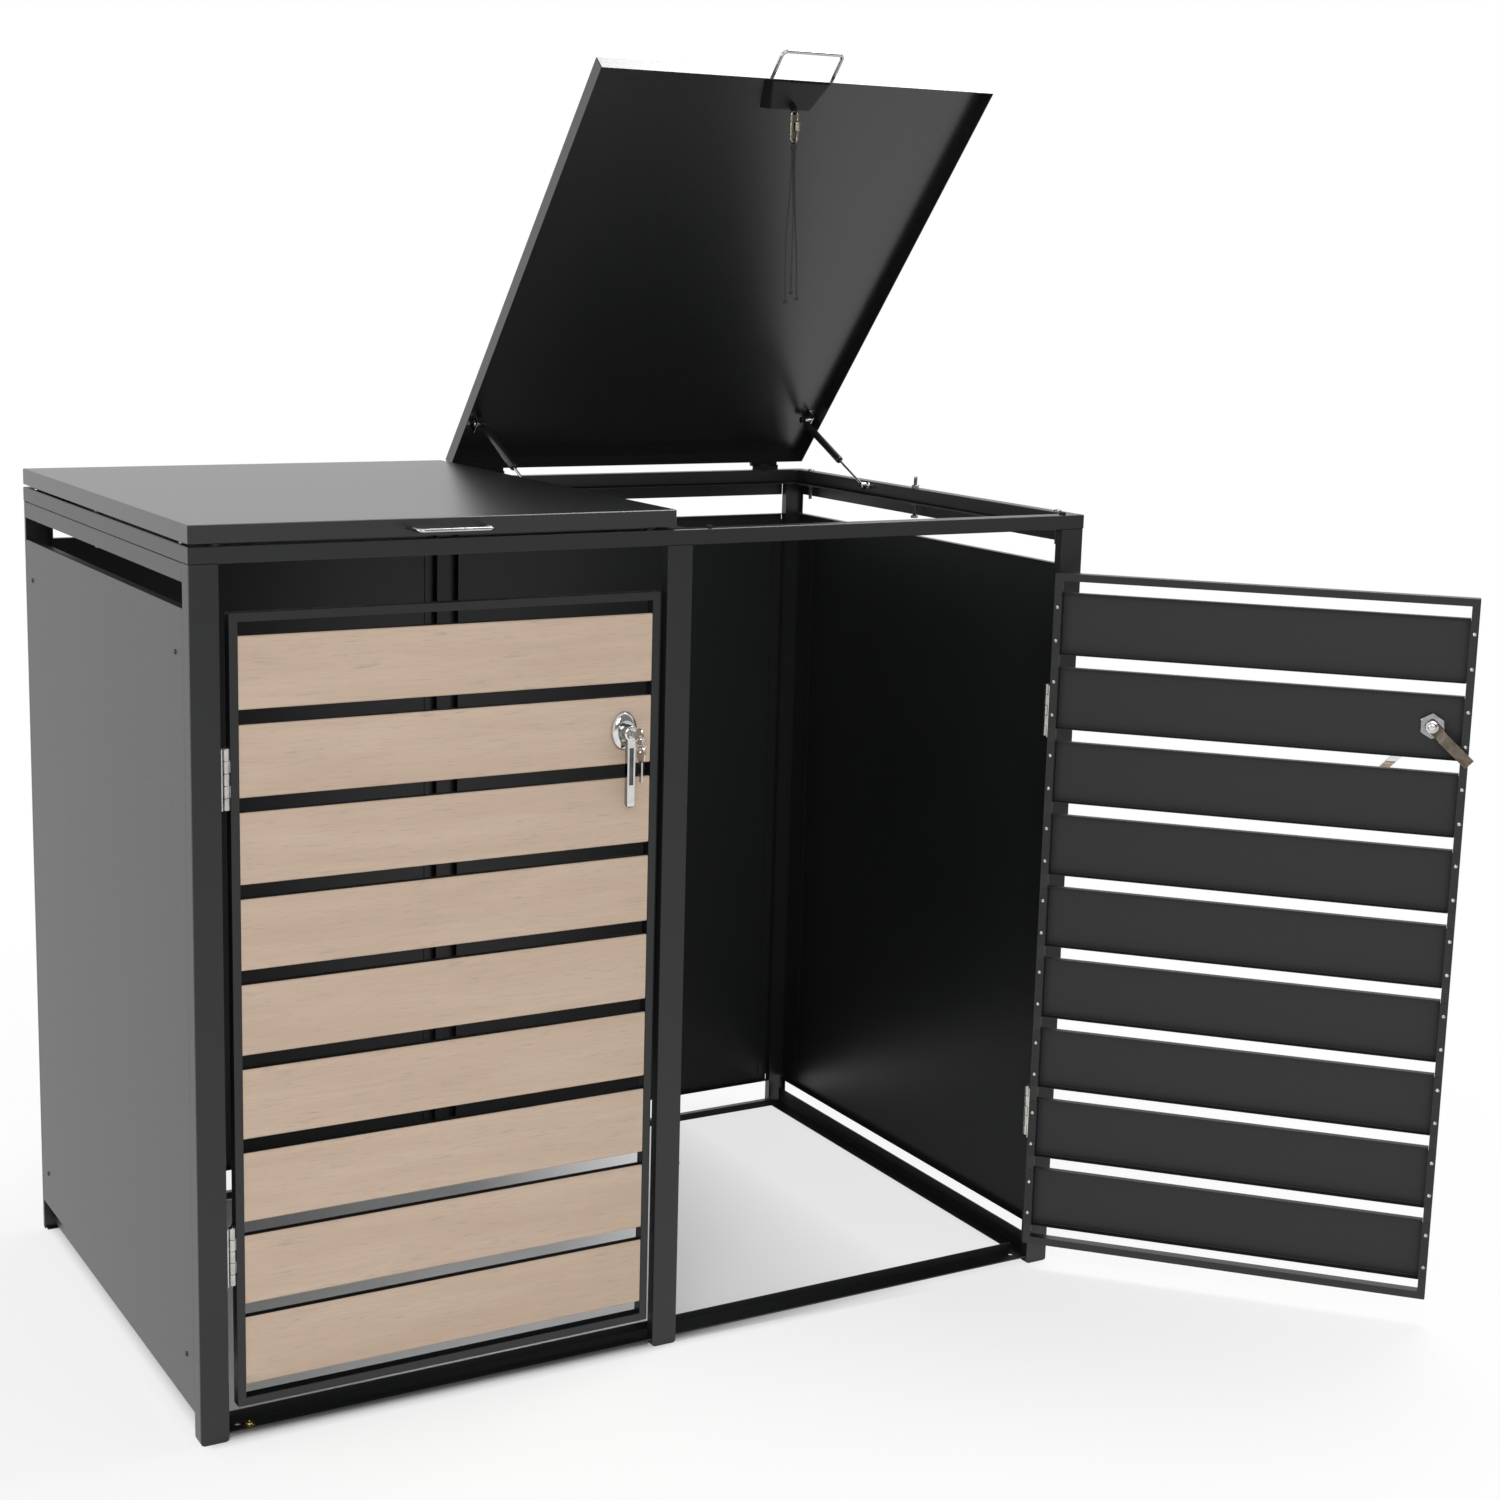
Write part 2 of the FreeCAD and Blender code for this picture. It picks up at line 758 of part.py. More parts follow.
# Rubber buffers on the front rail, which carry the closed lids
buffer_y = front + buffer_edge
buffer_places = [lid_inner_x + buffer_inset + 3, half_width - buffer_inset]
buffers = [cylinder((side * x, buffer_y, rail_top), (0, 0, 1), buffer_radius, lid_gap)
           for side in (-1, 1) for x in buffer_places]
write("lid_buffers", *buffers)


# Lid parts are drawn closed on the right and then mirrored or opened
def lid_tray():
    low = (lid_inner_x, front, lid_bottom)
    high = (half_width, back, lid_top)
    block = box(low, high)
    edges = edges_along(block, (0, 0, 1)) + [e for e in block.Edges if e.CenterOfMass.z > lid_top - 0.01]
    block = block.makeChamfer(lid_corner * edge_break, edges)
    hollow = box((low[0] + wall_sheet, low[1] + wall_sheet, low[2] - 1),
                 (high[0] - wall_sheet, high[1] - wall_sheet, lid_under))
    return block.cut(hollow)


def lid_handle():
    z = lid_top - handle_drop
    left = lid_centre_x - handle_width / 2
    right = lid_centre_x + handle_width / 2
    corners = [Vector(left, front, z), Vector(left, front - handle_reach, z),
               Vector(right, front - handle_reach, z), Vector(right, front, z)]
    bar = bent_bar(runs_and_chords(corners, [handle_bend, handle_bend], handle_chords), handle_bar_radius)
    inside = front + wall_sheet
    screws = [screw((x, inside, z), (0, 1, 0), screw_head_radius, screw_head_height + 1) for x in (left, right)]
    return [bar] + screws


# Trapezoid bracket: a pressed pan that closes against the lid, with a drilled eye at its back
def trapezoid(inset, z):
    near = front + wall_sheet + inset
    far = front + wall_sheet + bracket_depth - inset
    near_half = bracket_front_width / 2 - inset
    far_half = bracket_back_width / 2 - inset
    corners = [Vector(lid_centre_x - near_half, near, z), Vector(lid_centre_x + near_half, near, z),
               Vector(lid_centre_x + far_half, far, z), Vector(lid_centre_x - far_half, far, z)]
    return corners


def lid_bracket():
    floor = lid_under - bracket_height
    pan = skinned([trapezoid(panel_gap, lid_under), trapezoid(bracket_slope, floor)])
    hollow = skinned([trapezoid(bracket_sheet + panel_gap, lid_under),
                      trapezoid(bracket_slope + bracket_sheet, floor + bracket_sheet)])
    eye_y = eye_place()[0]
    eye_z = eye_place()[1]
    tab = box((lid_centre_x - eye_sheet / 2, eye_y - eye_radius, eye_z),
              (lid_centre_x + eye_sheet / 2, eye_y + eye_radius, floor + bracket_sheet / 2))
    round_end = cylinder((lid_centre_x - eye_sheet / 2, eye_y, eye_z), (1, 0, 0), eye_radius, eye_sheet)
    bracket = fused([pan.cut(hollow), fused([tab, round_end])])
    return drilled(bracket, (lid_centre_x, eye_y, eye_z), (1, 0, 0), eye_hole_radius, 10)


def eye_place():
    eye_y = front + wall_sheet + bracket_depth - bracket_slope - eye_radius - 1
    return eye_y, lid_under - bracket_height - eye_drop


# Butt hinges: the lid carries the middle knuckle and the pin, the frame the two outer knuckles
def lid_hinge_spans(centre):
    inner = lid_knuckle_length / 2
    outer = lid_leaf_width / 2
    return [(centre - outer, centre - inner - knuckle_gap), (centre - inner, centre + inner),
            (centre + inner + knuckle_gap, centre + outer)]


def lid_knuckle(span, bored):
    length = span[1] - span[0]
    body = cylinder((span[0], lid_axis_y, lid_axis_z), (1, 0, 0), lid_knuckle_radius, length)
    arm_z = lid_axis_z + (-1 if bored else 1) * (lid_knuckle_radius - lid_leaf_sheet / 2)
    arm = box((span[0], back, arm_z - lid_leaf_sheet / 2), (span[1], lid_axis_y, arm_z + lid_leaf_sheet / 2))
    body = fused([body, arm])
    if bored:
        return drilled(body, (span[0], lid_axis_y, lid_axis_z), (1, 0, 0), lid_pin_radius + pin_clearance,
                       4 * length)
    return body


def lid_hinge(centre):
    left, middle, right = lid_hinge_spans(centre)
    low = lid_axis_z + lid_knuckle_radius - lid_leaf_sheet
    leaf = box((left[0], back, low), (right[1], back + lid_leaf_sheet, lid_axis_z + lid_leaf_rise))
    pin = cylinder((left[0], lid_axis_y, lid_axis_z), (1, 0, 0), lid_pin_radius, lid_leaf_width)
    # the leaf stays clear of the frame's knuckles, so only the middle knuckle meets it
    moving = fused([leaf, lid_knuckle(middle, False), pin])
    screw_z = (low + lid_axis_z + lid_leaf_rise) / 2
    screws = [screw((centre + offset, back + lid_leaf_sheet, screw_z), (0, 1, 0), hinge_screw_radius,
                    hinge_screw_height) for offset in (-lid_hinge_screw_spread, lid_hinge_screw_spread)]
    return [moving] + screws


def lid_frame_leaf(centre):
    left, middle, right = lid_hinge_spans(centre)
    high = lid_axis_z - lid_knuckle_radius + lid_leaf_sheet
    low = lid_axis_z - lid_frame_leaf_drop
    leaf = box((left[0], back, low), (right[1], back + lid_leaf_sheet, high))
    return fused([leaf, lid_knuckle(left, True), lid_knuckle(right, True)])


lid_hinge_centres = [lid_inner_x + lid_hinge_inset, half_width - lid_hinge_inset]


# Brackets with the studs that the struts' upper ends sit against
strut_planes = [lid_inner_x + strut_inset, half_width - strut_inset]


def lid_strut_bracket():
    plane = strut_planes[0]
    plate_x = plane - strut_bracket_offset
    half = strut_bracket_width / 2
    foot_x = plate_x - strut_bracket_foot
    angle = folded_sheet([(plate_x, strut_lid_z - strut_bracket_drop), (plate_x, lid_under), (foot_x, lid_under)],
                         post_sheet, "y", strut_lid_y - half, strut_lid_y + half)
    stud_end = plane - strut_eye_half - open_pivot_clearance
    stud = cylinder((plate_x - post_sheet / 2, strut_lid_y, strut_lid_z), (1, 0, 0), stud_radius,
                    stud_end - plate_x + post_sheet / 2)
    return fused([angle, stud])


def opened_lid(shape):
    return turned(shape, (0, lid_axis_y, lid_axis_z), (-1, 0, 0), lid_opening)


lid_pieces = {"lid": [lid_tray()], "lid_handle": lid_handle(), "lid_bracket": [lid_bracket()],
              "lid_hinges": [piece for x in lid_hinge_centres for piece in lid_hinge(x)],
              "lid_strut_brackets": [lid_strut_bracket(), mirrored(lid_strut_bracket(), lid_centre_x)]}
for name, pieces in lid_pieces.items():
    write("left_" + name, *[mirrored(piece) for piece in pieces])
    write("right_" + name, *[opened_lid(piece) for piece in pieces])
frame_leaves = [lid_frame_leaf(x) for x in lid_hinge_centres]
write("lid_hinge_frame_leaves", *frame_leaves, *[mirrored(leaf) for leaf in frame_leaves])


# Gas struts: a rod on a ball stud at the frame, and a tube that slides on it up to the lid
def opened_point(y, z):
    angle = radians(lid_opening)
    dy = y - lid_axis_y
    dz = z - lid_axis_z
    return lid_axis_y + dy * cos(angle) + dz * sin(angle), lid_axis_z - dy * sin(angle) + dz * cos(angle)


closed_run = hypot(strut_lid_y - strut_frame_y, strut_lid_z - strut_frame_z)
strut_tube_length = closed_run - strut_rod_show
strut_bore_depth = strut_tube_length - strut_solid_end
strut_rod_length = strut_rod_show + strut_bore_depth - strut_rod_spare


def strut(plane, toward_stud, is_open):
    lid_y, lid_z = opened_point(strut_lid_y, strut_lid_z) if is_open else (strut_lid_y, strut_lid_z)
    run = hypot(lid_y - strut_frame_y, lid_z - strut_frame_z)
    along = ((0, (lid_y - strut_frame_y) / run, (lid_z - strut_frame_z) / run))
    back_along = [-a for a in along]

    def at(distance):
        return (plane, strut_frame_y + along[1] * distance, strut_frame_z + along[2] * distance)

    cup_start = (plane + toward_stud * strut_eye_half, strut_frame_y, strut_frame_z)
    cup = cylinder(cup_start, (-toward_stud, 0, 0), strut_eye_radius, 2 * strut_eye_half + 1.5)
    rod = fused([cup, cylinder(at(0), along, strut_rod_radius, strut_rod_length)])
    pocket_depth = strut_eye_half + ball_radius + 4 * ball_clearance
    rod = drilled(rod, cup_start, (-toward_stud, 0, 0), ball_radius + ball_clearance, 2 * pocket_depth)
    cap = cylinder((plane - strut_eye_half, lid_y, lid_z), (1, 0, 0), strut_eye_radius, 2 * strut_eye_half)
    neck = cylinder(at(run), back_along, strut_neck_radius, strut_neck_length)
    tube_run = strut_tube_length - strut_neck_length + 2
    narrow = strut_tube_radius - strut_tube_edge
    tube = round_stack(at(run - strut_neck_length + 2), back_along,
                       [(0, narrow), (strut_tube_edge, strut_tube_radius),
                        (tube_run - strut_tube_edge, strut_tube_radius), (tube_run, narrow)])
    bore_base = at(run - strut_tube_length - 1)
    bore = cylinder(bore_base, along, strut_rod_radius + pin_clearance, strut_bore_depth + 1)
    return rod, fused([cap, neck, tube]).cut(bore)


def frame_stud(plane, toward_stud, face):
    reach = abs(face - plane)
    centre = Vector(plane, strut_frame_y, strut_frame_z)
    pin = cylinder((face, strut_frame_y, strut_frame_z), (-toward_stud, 0, 0), stud_radius, reach)
    end = ball_radius * ball_flat_share
    pieces = [pin, ball(centre, (-toward_stud, 0, 0), ball_radius, (-end, 0, end))]
    if reach > spacer_length + ball_radius + strut_eye_half:
        pieces.append(cylinder((face, strut_frame_y, strut_frame_z), (-toward_stud, 0, 0), spacer_radius,
                               spacer_length))
    return fused(pieces)


studs = [frame_stud(strut_planes[0], -1, mid_rail_width / 2),
         frame_stud(strut_planes[1], 1, half_width - rail_width)]
write("strut_frame_studs", *studs, *[mirrored(stud) for stud in studs])
for place, plane, toward_stud in (("inner", strut_planes[0], -1), ("outer", strut_planes[1], 1)):
    closed_rod, closed_tube = strut(plane, toward_stud, False)
    open_rod, open_tube = strut(plane, toward_stud, True)
    write("left_" + place + "_strut_rod", mirrored(closed_rod))
    write("left_" + place + "_strut_tube", mirrored(closed_tube))
    write("right_" + place + "_strut_rod", open_rod)
    write("right_" + place + "_strut_tube", open_tube)


# Lifting link under the right lid: an oval of round bar with a threaded sleeve, hanging from the eye
eye_y, eye_z = opened_point(*eye_place())
link_bend = link_width / 2 - link_wire_radius
link_low = eye_z - link_length + 2 * link_wire_radius
link_top_centre = eye_z - link_bend
link_low_centre = link_low + link_bend


def lifting_link():
    length = link_top_centre - link_low_centre
    line = []
    for middle_z, first_turn in ((link_top_centre, 0), (link_low_centre, pi)):
        for step in range(link_chords + 1):
            turn = first_turn + pi * step / link_chords
            line.append(Vector(lid_centre_x + link_bend * cos(turn), eye_y, middle_z + link_bend * sin(turn)))
    sleeve = hexagon((lid_centre_x + link_bend, eye_y, link_low_centre + (length - sleeve_length) / 2),
                     (0, 0, 1), sleeve_flat, sleeve_length)
    return fused([bent_bar(line, link_wire_radius, True), sleeve])


write("lifting_link", lifting_link())

# Cords: three strands tied under the link, each ending in a knot
tie_ring = link_wire_radius + cord_radius + tie_ring_clearance
tie_centre = link_low - tie_ring - cord_radius / 2 - tie_radius * 0.7
strand_top = tie_centre - tie_flat
cord_routes = {"left_cord": (-1, [(0.0, 0.0, 0.0), (0.0, 0.0, -48.0), (-4.6, 1.8, -106.0),
                                  (-7.4, -1.4, -163.0), (-6.6, -3.6, -216.0)]),
               "middle_cord": (0, [(0.0, 0.0, 0.0), (0.0, 0.0, -44.0), (1.2, -3.4, -100.0),
                                   (-0.8, -5.2, -154.0), (0.6, -3.4, -203.0)]),
               "right_cord": (1, [(0.0, 0.0, 0.0), (0.0, 0.0, -46.0), (5.0, 2.2, -103.0),
                                  (8.6, 0.2, -159.0), (8.0, -2.6, -211.0)])}


def cord_path(place, route):
    start = Vector(lid_centre_x + place * strand_pitch, eye_y, strand_top)
    return [start + Vector(*step) for step in route]


def cord_tube(name, points):
    radii = []
    for before, corner, after in zip(points, points[1:], points[2:]):
        shorter = min((corner - before).Length, (after - corner).Length)
        turn = (corner - before).getAngle(after - corner)
        radii.append(cord_bend_share * shorter / tan(turn / 2))
    print(name, "radii", [round(radius) for radius in radii])
    path = Part.Wire(runs_and_arcs(points, radii))
    section = Part.Wire(Part.makeCircle(cord_radius, points[0], points[1] - points[0]))
    tube = path.makePipeShell([section], True, False)
    print(name, "length", round(path.Length, 1), "volume ratio",
          round(tube.Volume / (path.Length * pi * cord_radius ** 2), 4))
    return tube


def cord_end_knot(points):
    along = unit(points[-1] - points[-2])
    return ball(points[-1] + along * knot_flat, along, knot_radius, (-knot_flat, 0, knot_flat))


def cord_tie():
    turns = [2 * pi * (step + 0.5) / tie_ring_sides for step in range(tie_ring_sides)]
    reach = tie_ring / cos(pi / tie_ring_sides)
    line = [Vector(lid_centre_x, eye_y + reach * cos(turn), link_low + reach * sin(turn)) for turn in turns]
    knot = ball((lid_centre_x, eye_y, tie_centre), (0, 0, 1), tie_radius, (-tie_flat, 0, tie_flat, tie_top))
    return fused([bent_bar(line, cord_radius, True), knot])


knots = [cord_tie()]
for name, (place, route) in cord_routes.items():
    points = cord_path(place, route)
    write(name, cord_tube(name, points))
    knots.append(cord_end_knot(points))
write("cord_knots", *knots)


# Door parts are drawn closed on the left; the right door is their mirror image, opened
def door_frame():
    low_x = -door_hinge_x
    high_x = -door_lock_x
    outer = rounded_bar((low_x, door_front, door_bottom), (high_x, door_back, door_top), (0, 1, 0),
                        door_tube_corner)
    window = box((low_x + door_tube_x, door_front - 1, door_bottom + door_tube_x),
                 (high_x - door_tube_x, door_back + 1, door_top - door_tube_x))
    wall = door_tube_wall
    hollow = box((low_x + wall, door_front + wall, door_bottom + wall),
                 (high_x - wall, door_back - wall, door_top - wall))
    core = box((low_x + door_tube_x - wall, door_front - 1, door_bottom + door_tube_x - wall),
               (high_x - door_tube_x + wall, door_back + 1, door_top - door_tube_x + wall))
    frame = outer.cut(window).cut(hollow.cut(core))
    for x in (low_x + drain_inset, high_x - drain_inset):
        centre = (x, (door_front + door_back) / 2, door_bottom)
        frame = drilled(frame, centre, (0, 0, 1), drain_radius, 2 * wall + 1)
    return frame


def door_board(number):
    top = board_top - number * board_pitch
    low = top - board_height
    left = -door_hinge_x + door_tube_x + panel_gap
    right = -door_lock_x - door_tube_x - panel_gap
    across = folded_sheet([(board_front + board_flange, top), (board_front, top), (board_front, low),
                           (board_front + board_flange, low)], board_sheet, "x", left, right, fold_radius, 1)
    end = folded_sheet([(left - board_tab, door_back), (left, door_back), (left, board_front + board_sheet / 2)],
                       board_sheet, "z", low + board_relief, top - board_relief, panel_gap, 1)
    board = fused([across, end, mirrored(end, (left + right) / 2)])
    if number == 1:
        board = drilled(board, (lock_x, board_front, lock_z), (0, 1, 0), barrel_radius + panel_gap, 10)
    return board


def board_fixings():
    left = -door_hinge_x + door_tube_x / 2
    right = -door_lock_x - door_tube_x / 2
    surface = door_back + board_sheet
    fixings = []
    for number in range(board_count):
        centre = board_top - number * board_pitch - board_height / 2
        for x in (left, right):
            for offset in (board_screw_edge - board_height / 2, board_height / 2 - board_screw_edge):
                fixings.append(screw((x, surface, centre + offset), (0, 1, 0), fixing_radius, fixing_height))
    return fixings


# Door hinges: knuckles by turns on the post and on the door, which also carries the pin
def door_knuckle(low, high, toward_post):
    body = cylinder((-door_axis_x, door_axis_y, low), (0, 0, 1), door_knuckle_radius, high - low)
    if toward_post:
        arm = box((-post_inner_x, door_axis_y, low), (-door_axis_x, door_axis_y + door_leaf_sheet, high))
        body = fused([body, arm])
        return drilled(body, (-door_axis_x, door_axis_y, low), (0, 0, 1), door_pin_radius + pin_clearance,
                       4 * (high - low))
    arm = box((-door_axis_x, door_axis_y, low), (-door_hinge_x, door_axis_y + door_leaf_depth / 2, high))
    return fused([body, arm])


def knuckle_spans(centre):
    pitch = door_hinge_length / door_knuckle_count
    low = centre - door_hinge_length / 2
    return [(low + number * pitch + knuckle_gap / 2, low + (number + 1) * pitch - knuckle_gap / 2)
            for number in range(door_knuckle_count)]


def door_side_hinge(centre):
    spans = knuckle_spans(centre)
    low = spans[0][0]
    high = spans[-1][1]
    leaf_front = door_back - 1 - door_leaf_depth
    leaf = box((-door_hinge_x - door_leaf_sheet, leaf_front, low), (-door_hinge_x, door_back - 1, high))
    pin = cylinder((-door_axis_x, door_axis_y, low), (0, 0, 1), door_pin_radius, high - low)
    return fused([leaf, pin] + [door_knuckle(*span, False) for span in spans[1::2]])


def post_side_hinge(centre):
    spans = knuckle_spans(centre)
    leaf_front = front + post_leaf_front
    surface = -post_inner_x + door_leaf_sheet
    leaf = box((-post_inner_x, leaf_front, spans[0][0]), (surface, leaf_front + post_leaf_depth, spans[-1][1]))
    leaf = fused([leaf] + [door_knuckle(*span, True) for span in spans[::2]])
    screw_y = leaf_front + post_leaf_depth - screw_head_radius + panel_gap
    screws = [screw((surface, screw_y, centre + offset), (1, 0, 0), hinge_screw_radius, hinge_screw_height)
              for offset in (-hinge_screw_spread, 0, hinge_screw_spread)]
    return [leaf] + screws


post_hinges = [piece for z in door_hinge_heights for piece in post_side_hinge(z)]
write("door_hinge_post_leaves", *post_hinges, *[mirrored(piece) for piece in post_hinges])


# Lock: oval plate with a threaded barrel and its nut, which stay with the door
plate_front = board_front - plate_depth
barrel_end = door_back - 4.0


def oval(half_x, half_z, y):
    turns = [2 * pi * (step + 0.5) / plate_sides for step in range(plate_sides)]
    return [Vector(lock_x + half_x * cos(turn), y, lock_z + half_z * sin(turn)) for turn in turns]


def lock_case():
    plate = skinned([oval(plate_width / 2, plate_height / 2, board_front),
                     oval(plate_width / 2 - 1, plate_height / 2 - 1, board_front - plate_depth / 2),
                     oval(plate_width / 2 - 5, plate_height / 2 - 6, plate_front)])
    barrel = cylinder((lock_x, board_front - 1, lock_z), (0, 1, 0), barrel_radius, barrel_end - board_front + 1)
    case = fused([plate, barrel])
    through = 4 * (barrel_end - plate_front)
    case = drilled(case, (lock_x, board_front, lock_z), (0, 1, 0), spindle_radius + pin_clearance, through)
    nut = hexagon((lock_x, board_front + board_sheet, lock_z), (0, 1, 0), lock_nut_flat, lock_nut_height)
    nut = drilled(nut, (lock_x, board_front, lock_z), (0, 1, 0), barrel_radius + panel_gap / 3, through)
    return [case, nut]


# Lever handle with a recessed inlay, and the spindle through the barrel
def lever_handle():
    hub_base = plate_front - knuckle_gap
    hub_front = hub_base - hub_length
    hub = round_stack((lock_x, hub_base, lock_z), (0, -1, 0), [(0, hub_radius), (hub_length - hub_edge, hub_radius),
                                                               (hub_length, hub_radius - hub_edge)])
    start_half = lever_width / 2
    tip_half = lever_tip_width / 2
    tip_z = lock_z - lever_length + tip_half
    tip_turns = [pi + pi * step / lever_tip_chords for step in range(lever_tip_chords + 1)]
    outline = [(lock_x - start_half, lock_z)]
    outline += [(lock_x + tip_half * cos(turn), tip_z + tip_half * sin(turn)) for turn in tip_turns]
    outline.append((lock_x + start_half, lock_z))
    arm = prism(outline, "y", hub_front + 1, hub_front + 1 + lever_depth)
    front_edges = [edge for edge in arm.Edges if edge.CenterOfMass.y < hub_front + 1.01
                   and edge.CenterOfMass.z < lock_z - 1]
    arm = arm.makeChamfer(lever_edge, front_edges)
    inlay_top = lock_z - inlay_start
    inlay = rounded_bar((lock_x - inlay_width / 2, hub_front, inlay_top - inlay_length),
                        (lock_x + inlay_width / 2, hub_front + 1 + inlay_depth, inlay_top), (0, 1, 0), 2.0)
    spindle = cylinder((lock_x, hub_base - 1, lock_z), (0, 1, 0), spindle_radius, cam_near_back() - hub_base + 1)
    return fused([hub, arm, spindle]).cut(inlay)


def cam_near_back():
    return barrel_end + panel_gap + cam_sheet


# Cranked cam: a flat bar that steps back to pass behind the door's upright and the post
def lock_cam():
    near = barrel_end + panel_gap
    far = door_back + board_sheet + fixing_height + cam_clearance
    outline = [(-cam_width / 2, near), (cam_crank_start, near), (cam_crank_end, far), (cam_reach, far)]
    bar = folded_sheet(outline, cam_sheet, "z", -cam_width / 2, cam_width / 2)
    bar.translate(Vector(lock_x, 0, lock_z))
    end_edges = [edge for edge in edges_along(bar, (0, 1, 0)) if edge.CenterOfMass.x < lock_x]
    bar = bar.makeChamfer(cam_corner, end_edges)
    bar = drilled(bar, (lock_x, near, lock_z), (0, 1, 0), spindle_radius, 4 * cam_sheet)
    bolt = hexagon((lock_x, cam_near_back(), lock_z), (0, 1, 0), 2 * cam_bolt_radius, cam_bolt_height)
    return [turned(piece, (lock_x, 0, lock_z), (0, 1, 0), cam_angle) for piece in (bar, bolt)]


def lock_handle(side):
    return turned(lever_handle(), (lock_x, 0, lock_z), (0, 1, 0), lever_angles[side])


def opened_door(shape):
    return turned(mirrored(shape), (door_axis_x, door_axis_y, 0), (0, 0, 1), door_opening)


door_pieces = {"door_frame": [door_frame()], "door_boards": [door_board(n) for n in range(board_count)],
               "board_fixings": board_fixings(), "door_hinges": [door_side_hinge(z) for z in door_hinge_heights],
               "lock_case": lock_case(), "lock_cam": lock_cam()}
for name, pieces in door_pieces.items():
    write("left_" + name, *pieces)
    write("right_" + name, *[opened_door(piece) for piece in pieces])
write("left_lock_handle", lock_handle("left"))
write("right_lock_handle", opened_door(lock_handle("right")))


# Keys: one in the lock's hub, one hanging from it on a ring
def flat_key(blade_length):
    bow = cylinder((0, 0, -key_sheet / 2), (0, 0, 1), key_bow_radius, key_sheet)
    hole = cylinder((-key_bow_radius * 0.5, 0, -key_sheet), (0, 0, 1), key_bow_hole, 2 * key_sheet)
    blade = box((key_bow_radius - 2, -key_blade_width / 2, -key_sheet / 2),
                (key_bow_radius + blade_length, key_blade_width / 2, key_sheet / 2))
    return fused([bow, blade]).cut(hole)


def key_set():
    hub_front = plate_front - knuckle_gap - hub_length
    bow_y = hub_front - key_stem - key_bow_radius
    first = flat_key(key_stem)
    first.Placement = FreeCAD.Placement(Vector(lock_x, bow_y, lock_z),
                                        FreeCAD.Rotation(Vector(0, 1, 0), Vector(0, 0, -1), Vector(1, 0, 0), "XYZ"))
    hole_y = bow_y - key_bow_radius * 0.5
    ring_z = lock_z - ring_radius
    turns = [2 * pi * step / ring_sides for step in range(ring_sides)]
    key_ring = bent_bar([Vector(lock_x + ring_radius * cos(turn), hole_y, ring_z + ring_radius * sin(turn))
                         for turn in turns], ring_wire, True)
    second = flat_key(key_blade_length)
    second_z = ring_z - ring_radius - key_bow_radius * 0.5
    second.Placement = FreeCAD.Placement(Vector(lock_x, hole_y, second_z),
                                         FreeCAD.Rotation(Vector(0, 0, -1), Vector(0, 1, 0), Vector(1, 0, 0), "XYZ"))
    return [first, key_ring, second]


write("left_keys", *key_set())

# Figures for the joints
closed_angle = atan2(strut_lid_z - strut_frame_z, strut_lid_y - strut_frame_y)
open_y, open_z = opened_point(strut_lid_y, strut_lid_z)
open_run = hypot(open_y - strut_frame_y, open_z - strut_frame_z)
open_angle = atan2(open_z - strut_frame_z, open_y - strut_frame_y)
print("strut angle closed", round(degrees(closed_angle), 5), "open", round(degrees(open_angle), 5))
print("strut length closed", round(closed_run, 4), "open", round(open_run, 4))
print("lid eye at", round(eye_y, 4), round(eye_z, 4), "lock at", lock_x, round(lock_z, 3))
print("door axis", door_axis_x, door_axis_y)
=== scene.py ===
import bpy
import json
import math
from mathutils import Euler, Matrix, Vector

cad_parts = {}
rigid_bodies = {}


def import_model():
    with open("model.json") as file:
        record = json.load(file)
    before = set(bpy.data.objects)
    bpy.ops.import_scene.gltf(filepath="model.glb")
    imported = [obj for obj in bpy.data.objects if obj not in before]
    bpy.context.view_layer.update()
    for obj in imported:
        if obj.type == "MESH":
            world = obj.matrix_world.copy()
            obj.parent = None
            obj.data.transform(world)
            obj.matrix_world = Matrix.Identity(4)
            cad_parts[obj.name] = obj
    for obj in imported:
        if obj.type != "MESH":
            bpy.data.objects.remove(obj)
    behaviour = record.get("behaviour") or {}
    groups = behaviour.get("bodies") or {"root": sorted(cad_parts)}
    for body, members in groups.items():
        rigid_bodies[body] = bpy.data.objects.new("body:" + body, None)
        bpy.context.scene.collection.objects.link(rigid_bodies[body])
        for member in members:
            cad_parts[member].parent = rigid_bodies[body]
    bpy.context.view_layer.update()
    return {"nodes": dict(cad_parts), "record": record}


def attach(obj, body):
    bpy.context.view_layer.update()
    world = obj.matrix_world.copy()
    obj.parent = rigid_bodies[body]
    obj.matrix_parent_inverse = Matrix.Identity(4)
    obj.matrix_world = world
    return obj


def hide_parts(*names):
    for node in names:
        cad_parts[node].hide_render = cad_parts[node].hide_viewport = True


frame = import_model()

nodes = frame["nodes"]
scene = bpy.context.scene
slotOf = {part["node"]: part["material_slot"] for part in frame["record"]["subparts"]}
bodyOf = {node: body for body, members in frame["record"]["behaviour"]["bodies"].items() for node in members}


# Camera, solved from the corners of the frame in the photograph
camera = {
    "place": (-1.528135, -3.184616, 1.495252),
    "turn": (79.62512, -1.40501, -29.52862),
    "lens": 58.207,
    "shift": (0.01822, -0.0302),
}


def addCamera():
    data = bpy.data.cameras.new("studioCamera")
    data.lens = camera["lens"]
    data.sensor_width = 36.0
    data.shift_x, data.shift_y = camera["shift"]
    data.clip_end = 90.0
    made = bpy.data.objects.new("studioCamera", data)
    made.location = camera["place"]
    made.rotation_euler = Euler([math.radians(angle) for angle in camera["turn"]], "XYZ")
    scene.collection.objects.link(made)
    scene.camera = made


addCamera()
print("camera placed")


